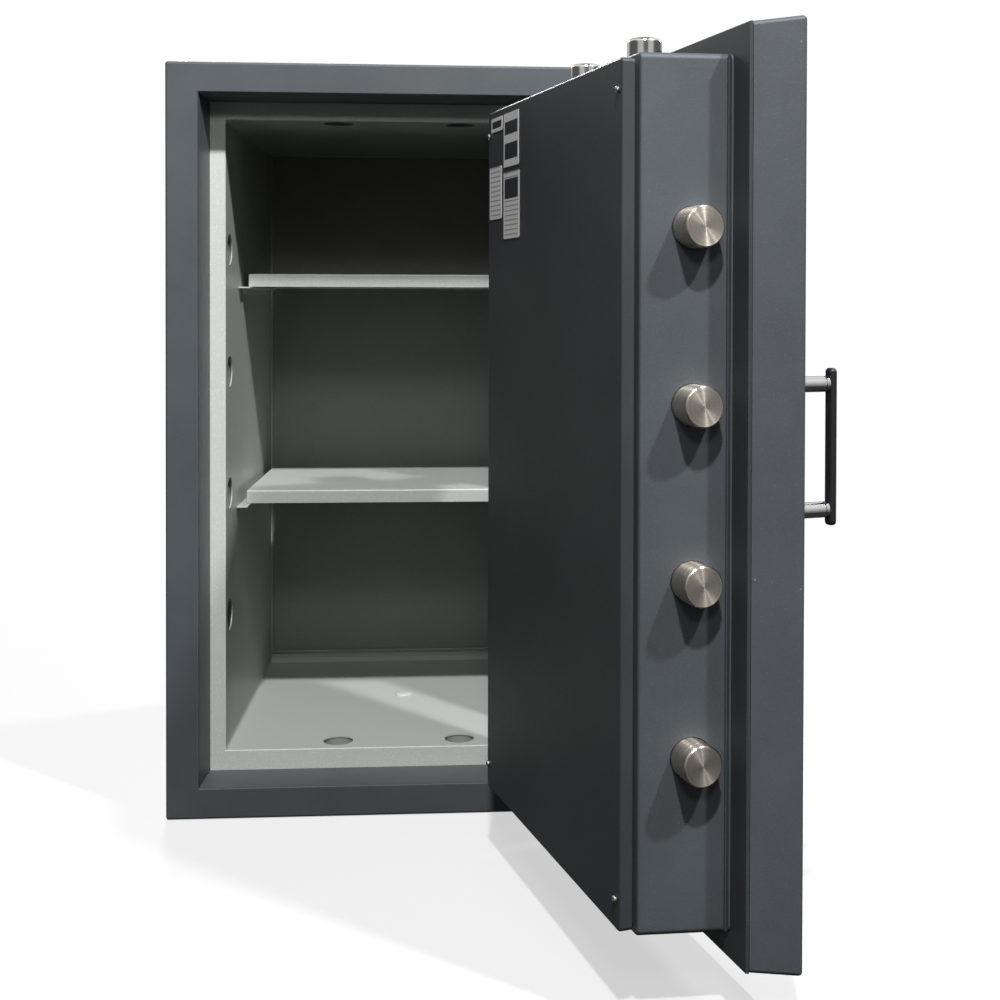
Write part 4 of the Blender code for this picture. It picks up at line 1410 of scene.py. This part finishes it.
@dataclass
class Boltwork(Assembly):
    """The live bolts and the bars that carry them."""

    radius: float = 0.019
    end_radius: float = 0.017
    out: float = 0.0250
    top_out: float = 0.0308
    bottom_out: float = -0.0005
    length: float = 0.072
    end_length: float = 0.055
    bar: float = 0.008
    bar_width: float = 0.034
    nose: float = 0.0042
    end_bar: float = 0.2150

    def bolt(
        self, name: str, tip: Vector, axis: Vector, radius: float, length: float, body: str
    ) -> None:
        """A live bolt: a crisp nose and a ring line, or a round bright nose on the end bolts.

        Args:
            name: the CAD node that it stands for.
            tip: centre of its end face, door closed.
            axis: the way it is thrown, door closed.
            radius: its radius.
            length: its length.
            body: the body that it moves with.
        """
        r = radius
        there = DATUM.swing
        centre = there @ tip
        way = there.to_3x3() @ axis
        steel: Finish = TurnedSteel(f"steel_{name}", tuple(centre), tuple(way))
        steps = [
            (0.0, r - 0.0014),
            (0.0003, r - 0.0009),
            (0.0009, r - 0.0003),
            (0.0016, r),
            (0.0078, r),
            (0.0080, r - 0.0001),
            (0.0084, r - 0.0001),
            (0.0086, r),
            (length - 0.001, r),
            (length, r - 0.001),
        ]
        if abs(axis.z) > 0.5:
            n = self.nose
            turns = [i * math.pi / 16 for i in range(9)]
            arc = [(n * (1 - math.cos(t)), r - n * (1 - math.sin(t))) for t in turns]
            steps = arc + steps[-2:]
            steel = Store.bolt_chrome
        ob = Bench.turned(f"live_{name}", tip, -axis, steps, 96)
        self.fit_to_door(ob, steel, "brushed_steel", [name], body=body, angle=25)

    def build(self) -> None:
        """Make all bolts and their bars."""
        s = DOOR
        x = s.box(s.bolt_y)[0] - self.out
        for i, z in enumerate(Lining.bolt_z):
            tip = Vector((x, s.bolt_y, z))
            name = f"side_bolt_{i + 1}"
            self.bolt(name, tip, Vector((-1, 0, 0)), self.radius, self.length, "side_boltwork")
        a = x + self.length + DATUM.gap
        y0, y1 = s.bolt_y - self.bar_width / 2, s.bolt_y + self.bar_width / 2
        z0, z1 = Lining.bolt_z[0] - 0.030, Lining.bolt_z[-1] + 0.030
        self.bar_piece("side_bolt_bar", (a, y0, z0), (a + self.bar, y1, z1), "side_boltwork")
        _, _, bottom, top = s.box(s.bolt_y)
        for end, edge, out in (
            (End.TOP, top, self.top_out),
            (End.BOTTOM, bottom, self.bottom_out),
        ):
            tag, sign = end.name.lower(), end.value
            z = edge + sign * out
            for i, bx in enumerate(Lining.end_bolt_x):
                tip = Vector((bx, s.bolt_y, z))
                axis = Vector((0, 0, sign))
                name = f"{tag}_bolt_{i + 1}"
                self.bolt(name, tip, axis, self.end_radius, self.end_length, f"{tag}_boltwork")
            b = z - sign * (self.end_length + DATUM.gap)
            lo, hi = sorted((b, b - sign * self.bar))
            mid, half = sum(Lining.end_bolt_x) / 2, self.end_bar / 2
            low, high = (mid - half, y0, lo), (mid + half, y1, hi)
            self.bar_piece(f"{tag}_bolt_bar", low, high, f"{tag}_boltwork")

    def bar_piece(
        self, name: str, low: Sequence[float], high: Sequence[float], body: str
    ) -> None:
        """A flat carrier bar with rounded edges."""
        ob = Bench.block(f"{name}_flat", low, high)
        Bench.soften(ob, 0.0012, 3)
        self.fit_to_door(ob, Store.zinc, "zinc_plate", [name], body=body)


@dataclass
class Controls(Assembly):
    """Handle, dial and pull on the outside of the door, and what turns behind them."""

    rose: float = 0.030
    rose_thick: float = 0.007
    dial_radius: float = 0.036
    dial_slope: tuple[float, float] = (0.0030, 0.0098)
    dial_waist: float = 0.83
    ring_radius: float = 0.046
    ring_thick: float = 0.006
    pull_x: float = -0.2012
    pull_z: float = 0.5165
    pull_height: float = 0.148
    pull_width: float = 0.012
    pull_thick: float = 0.0075
    pull_proud: float = 0.0595
    post_radius: float = 0.0075
    post_end: float = 0.015
    tick_seat: ClassVar[Vector] = Vector((0, -0.0052, 0.0330))
    number_seat: ClassVar[Vector] = Vector((0, -0.0094, 0.0272))

    def build(self) -> None:
        """Make everything that a hand touches."""
        self.lever()
        self.dial()
        self.pull()
        for node, finish in (
            ("handle_spindle", Store.zinc),
            ("bolt_cam", Store.zinc),
            ("dial_spindle", Store.zinc),
            ("lock_case", Store.brass),
            ("lock_bolt", Store.brass),
        ):
            self.dress(node, finish)

    def lever(self) -> None:
        """The rose and the lever handle."""
        g = DATUM.gap
        x, z = HANDLE.x, HANDLE.z
        at = Vector((x, DATUM.front - g, z))
        r, t = self.rose, self.rose_thick
        steps = [(0, r - 0.0004), (0.0004, r), (t - 0.003, r), (t - 0.0008, r - 0.0022), (t, r - 0.006)]
        rose = Bench.turned("lever_rose", at, (0, -1, 0), steps, 96)
        Bench.cut(rose, HANDLE.bore(at.y + 0.01, at.y - 0.02))
        self.fit_to_door(rose, Store.chrome, "chrome", ["handle_rose"], angle=30)
        start = Vector((x, DATUM.front - t - 2 * g, z))
        hub = Bench.turned(
            "lever",
            start,
            (0, -1, 0),
            [(0, 0.0130), (0.001, 0.014), (0.019, 0.014), (0.0225, 0.0125), (0.024, 0.0085)],
            64,
        )
        y = start.y - 0.0145
        arm_steps = [
            (0.004, 0.0060),
            (0.020, 0.0074),
            (0.060, 0.0068),
            (0.100, 0.0070),
            (0.114, 0.0074),
            (0.1185, 0.0062),
            (0.1200, 0.0035),
        ]
        arm = Bench.turned("arm", (x, y, z), (1, 0, 0), arm_steps, 40)
        Bench.cut(hub, arm, "UNION")
        self.fit_to_door(hub, Store.chrome, "chrome", ["handle_lever"], body="handle", angle=35)

    def dial(self) -> None:
        """The dial ring, the dial with its knurled knob, and their marks."""
        g = DATUM.gap
        at = Vector((DIAL.x, DATUM.front - g, DIAL.z))
        r, t = self.ring_radius, self.ring_thick
        steps = [(0, r - 0.0004), (0.0004, r), (t - 0.002, r), (t - 0.0005, r - 0.0014), (t, r - 0.003)]
        ring = Bench.turned("dial_collar", at, (0, -1, 0), steps, 96)
        Bench.cut(ring, DIAL.bore(at.y + 0.01, at.y - 0.02))
        self.fit_to_door(ring, Store.black, "black_paint", ["dial_ring"], angle=30)
        start = at - Vector((0, t + g, 0))
        rd = self.dial_radius
        foot, head = self.dial_slope
        steps = [
            (0, rd - 0.0006),
            (0.0006, rd),
            (0.0022, rd),
            (foot, rd - 0.0006),
            (head, rd * self.dial_waist),
            (0.0100, rd * 0.80),
            (0.0101, 0.0190),
            (0.0112, 0.0180),
            (0.0150, 0.0172),
            (0.0268, 0.0164),
            (0.0284, 0.0152),
            (0.0290, 0.0130),
        ]
        dial = Bench.turned("combination_dial", start, (0, -1, 0), steps, 120)
        Bench.pick_faces(
            dial,
            lambda c, n: start.y - 0.0265 < c.y < start.y - 0.0155 and abs(n.y) < 0.3,
        )
        bpy.ops.mesh.inset(thickness=0.00012, use_individual=True)
        bpy.ops.mesh.extrude_faces_move(TRANSFORM_OT_shrink_fatten={"value": 0.0005})
        bpy.ops.object.mode_set(mode="OBJECT")
        self.fit_to_door(dial, Store.black, "black_paint", ["dial"], body="dial_set", angle=30)
        self.marks(start, at)

    def marks(self, start: Vector, at: Vector) -> None:
        """Graduations and tens on the dial, and the index on the ring.

        Args:
            start: centre of the dial's foot.
            at: centre of the ring's foot.
        """
        foot, head = self.dial_slope
        slope = math.atan2(self.dial_radius * (1 - self.dial_waist), head - foot)
        marks: list[bpy.types.Object] = []
        long, middle, short = 0.0019, 0.0014, 0.0010
        for i in range(100):
            half = long if i % 10 == 0 else (middle if i % 5 == 0 else short)
            bpy.ops.object.select_all(action="DESELECT")
            bpy.ops.mesh.primitive_cube_add(size=1, scale=(0.0004, 0.00012, half * 2))
            tick = Bench.named(f"tick{i}")
            shorter = self.tick_seat + Vector((0, 0, (long - half) * 0.6))
            tick.data.transform(Matrix.Translation(shorter))
            self.lay(tick, self.tick_seat, slope, start, 3.6 * i)
            marks.append(tick)
        for i in range(10):
            bpy.ops.object.select_all(action="DESELECT")
            bpy.ops.object.text_add()
            text = bpy.context.object
            text.data.body = str(i * 10)
            text.data.size = 0.0052
            text.data.align_x = "CENTER"
            text.data.extrude = 0.0001
            Bench.take(text)
            bpy.ops.object.convert(target="MESH")
            number = bpy.context.object
            number.name = f"ten{i}"
            upright = Matrix.Rotation(math.pi / 2, 4, "X")
            number.data.transform(Matrix.Translation(self.number_seat) @ upright)
            self.lay(number, self.number_seat, slope, start, 36 * i)
            marks.append(number)
        ob = Bench.joined("dial_marks", marks)
        Bench.hang(ob)
        self.fit(ob, Store.marking, "dial_set", "sticker")
        x, y = DIAL.x, at.y - self.ring_thick
        z = DIAL.z + self.dial_radius + 0.0014
        low, high = (x - 0.0005, y - 0.0003, z), (x + 0.0005, y + 0.0002, z + 0.005)
        index = Bench.block("ring_index", low, high)
        Bench.soften(index, 0.0001, 1)
        Bench.hang(index)
        self.fit(index, Store.marking, "door", "sticker")

    @staticmethod
    def lay(
        mark: bpy.types.Object, seat: Vector, slope: float, centre: Vector, degrees: float
    ) -> None:
        """Tilt a mark onto the dial's sloping face and turn it to its place round the dial.

        Args:
            mark: the mark, upright over the dial's centre.
            seat: the point that it tilts about.
            slope: the face's slope in radians.
            centre: the dial's centre.
            degrees: its place round the dial.
        """
        there = Matrix.Translation(seat)
        mark.data.transform(
            there @ Matrix.Rotation(math.pi / 2 - slope, 4, "X") @ there.inverted()
        )
        turn = Matrix.Rotation(math.radians(degrees), 4, "Y")
        mark.data.transform(Matrix.Translation(centre) @ turn)

    def pull(self) -> None:
        """The pull: a black flat bar on two chrome posts with collars."""
        g = DATUM.gap
        face = DATUM.front - g
        front = DATUM.front - self.pull_proud
        back = front + self.pull_thick
        x, z, h, w = self.pull_x, self.pull_z, self.pull_height / 2, self.pull_width / 2
        bar = Bench.block("pull_flat", (x - w, front, z - h), (x + w, back, z + h))
        Bench.round_edges(bar, lambda m, v: abs(v.y) > 0.9, 0.004, 5)
        Bench.soften(bar, 0.0026, 5)
        self.fit_to_door(bar, Store.black, "black_paint", ["pull_bar"])
        reach = face - back - g
        r = self.post_radius
        for tag, s in (("upper", 1), ("lower", -1)):
            at = Vector((x, face, z + s * (h - self.post_end)))
            steps = [
                (0, r + 0.0022),
                (0.0004, r + 0.0026),
                (0.0026, r + 0.0026),
                (0.0034, r + 0.0016),
                (0.0036, r - 0.0008),
                (0.0060, r - 0.0008),
                (0.0062, r),
                (reach - 0.0050, r),
                (reach - 0.0048, r - 0.0010),
                (reach - 0.0036, r - 0.0010),
                (reach - 0.0034, r),
                (reach - 0.0006, r),
                (reach, r - 0.0006),
            ]
            post = Bench.turned(f"pull_stand_{tag}", at, (0, -1, 0), steps, 64)
            self.fit_to_door(post, Store.chrome, "chrome", [f"pull_post_{tag}"], angle=30)


@dataclass
class Studio:
    """Pale floor, five lamps, a pale surround and the camera."""

    eye: tuple[float, float, float] = (0.0658, -2.0536, 0.6526)
    pan_deg: float = 4.13
    tilt_deg: float = 0.83
    roll_deg: float = 0.16
    lens: float = 50.3208
    sensor: float = 36.0
    shift: tuple[float, float] = (-0.0600, -0.1788)
    fade: tuple[float, float] = (0.9, 3.2)
    ambient: float = 0.04
    sheen: float = 0.19

    def build(self) -> None:
        """Set up the camera, the floor and the light."""
        self.camera()
        self.floor()
        self.lamp("lamp_front", (-0.03, -3.15, 4.40), (0.1, -0.3, 0.5), 200.0, 0.22)
        self.lamp("lamp_right", (1.80, -2.15, 3.30), (0.4, -0.6, 0.5), 86.0, 0.16)
        self.lamp("lamp_low", (0.0, -3.20, 2.20), (0.0, -0.3, 0.4), 13.0, 0.50)
        self.lamp("lamp_behind", (-0.9, 3.30, 2.60), (0.0, 0.2, 0.5), 95.0, 0.60)
        self.lamp("lamp_beside", (2.90, 1.60, 2.40), (0.3, 0.0, 0.5), 60.0, 0.60)
        self.sky()

    def camera(self) -> None:
        """The camera at the viewing angle."""
        data = bpy.data.cameras.new("view")
        cam = bpy.data.objects.new("view", data)
        bpy.context.scene.collection.objects.link(cam)
        pan, tilt = math.radians(self.pan_deg), math.radians(self.tilt_deg)
        ahead = Vector(
            (math.sin(pan) * math.cos(tilt), math.cos(pan) * math.cos(tilt), -math.sin(tilt))
        )
        right = Vector((math.cos(pan), -math.sin(pan), 0))
        up = right.cross(ahead)
        c, s = math.cos(math.radians(self.roll_deg)), math.sin(math.radians(self.roll_deg))
        right, up = right * c + up * s, up * c - right * s
        turn = Matrix((right, up, -ahead)).transposed()
        cam.matrix_world = Matrix.Translation(self.eye) @ turn.to_4x4()
        data.sensor_width = self.sensor
        data.lens = self.lens
        data.shift_x, data.shift_y = self.shift
        data.clip_start = 0.05
        bpy.context.scene.camera = cam

    def floor(self) -> None:
        """A pale floor that fades evenly into the surround."""
        bpy.ops.object.select_all(action="DESELECT")
        bpy.ops.mesh.primitive_circle_add(
            vertices=96, radius=40, fill_type="NGON", location=(0, 0, -0.0005)
        )
        ob = bpy.context.object
        ob.name = "studio_floor"
        n = Nodes("studio_floor_paint")
        away = n.vector("LENGTH", n.coords)
        far = n.spread(away.outputs["Value"], *self.fade, 0.0, 1.0)
        n.link(n.blend(far, (0.34, 0.34, 0.34), (0.0, 0.0, 0.0)), n.shader.inputs["Base Color"])
        n.link(n.blend(far, (0.60, 0.60, 0.60), (1.0, 1.0, 1.0)), n.shader.inputs["Emission Color"])
        n.set(Roughness=1.0, Emission_Strength=1.0, Specular_IOR_Level=0.0)
        ob.data.materials.append(n.mat)
        ob.visible_diffuse = False
        ob.visible_glossy = False

    def lamp(
        self, name: str, at: Sequence[float], target: Sequence[float], watts: float, size: float
    ) -> None:
        """A round lamp.

        Args:
            name: its name.
            at: where it hangs.
            target: what it points at.
            watts: its strength.
            size: its width.
        """
        data = bpy.data.lights.new(name, "AREA")
        data.shape = "DISK"
        data.size = size
        data.energy = watts
        ob = bpy.data.objects.new(name, data)
        ob.location = at
        aim = Vector(target) - Vector(at)
        ob.rotation_euler = aim.to_track_quat("-Z", "Y").to_euler()
        bpy.context.scene.collection.objects.link(ob)

    def sky(self) -> None:
        """A white surround that sheds little light, and shows in metal as broad strips, bright above."""
        world = bpy.data.worlds.new("surround")
        bpy.context.scene.world = world
        world.use_nodes = True
        tree = world.node_tree
        shade = tree.nodes["Background"]
        shade.inputs["Color"].default_value = (1.0, 1.0, 1.0, 1)
        n = Wiring(tree, "Generated")
        ray = n.node("ShaderNodeLightPath")
        plain = n.maths("MULTIPLY_ADD", ray.outputs["Is Camera Ray"], 1.0 - self.ambient, self.ambient)
        high = n.spread(n.up(n.coords), -0.5, 0.6, 0.0, self.sheen * 2.2)
        strips = n.node("ShaderNodeTexWave")
        strips.inputs["Scale"].default_value = 0.3
        n.link(n.coords, strips.inputs["Vector"])
        swell = n.spread(strips.outputs["Fac"], 0.35, 0.65, 0.25, 1.9)
        gleam = n.maths("MULTIPLY", high, swell)
        level = n.maths("MULTIPLY_ADD", ray.outputs["Is Glossy Ray"], gleam, plain)
        n.link(level, shade.inputs["Strength"])
        bpy.context.scene.view_settings.view_transform = "Standard"


def main() -> None:
    """Build the safe, sub-assembly by sub-assembly, and the studio round it."""
    logging.basicConfig(level=logging.INFO, format="%(name)s %(message)s")
    store = Store()
    assemblies = [
        Carcass(store),
        Lining(store),
        Shelf(store, "shelf_upper", "upper_shelf", 0.6890, 0.130),
        Shelf(store, "shelf_lower", "lower_shelf", 0.3915, 0.110),
        BarrelHinge(store, "lower", 0.180),
        BarrelHinge(store, "upper", 0.755),
        DoorSlab(store),
        BoltBox(store),
        Boltwork(store),
        Controls(store),
    ]
    for assembly in assemblies:
        LOG.info("making %s", type(assembly).__name__)
        assembly.build()
    Studio().build()


if __name__ == "__main__":
    main()
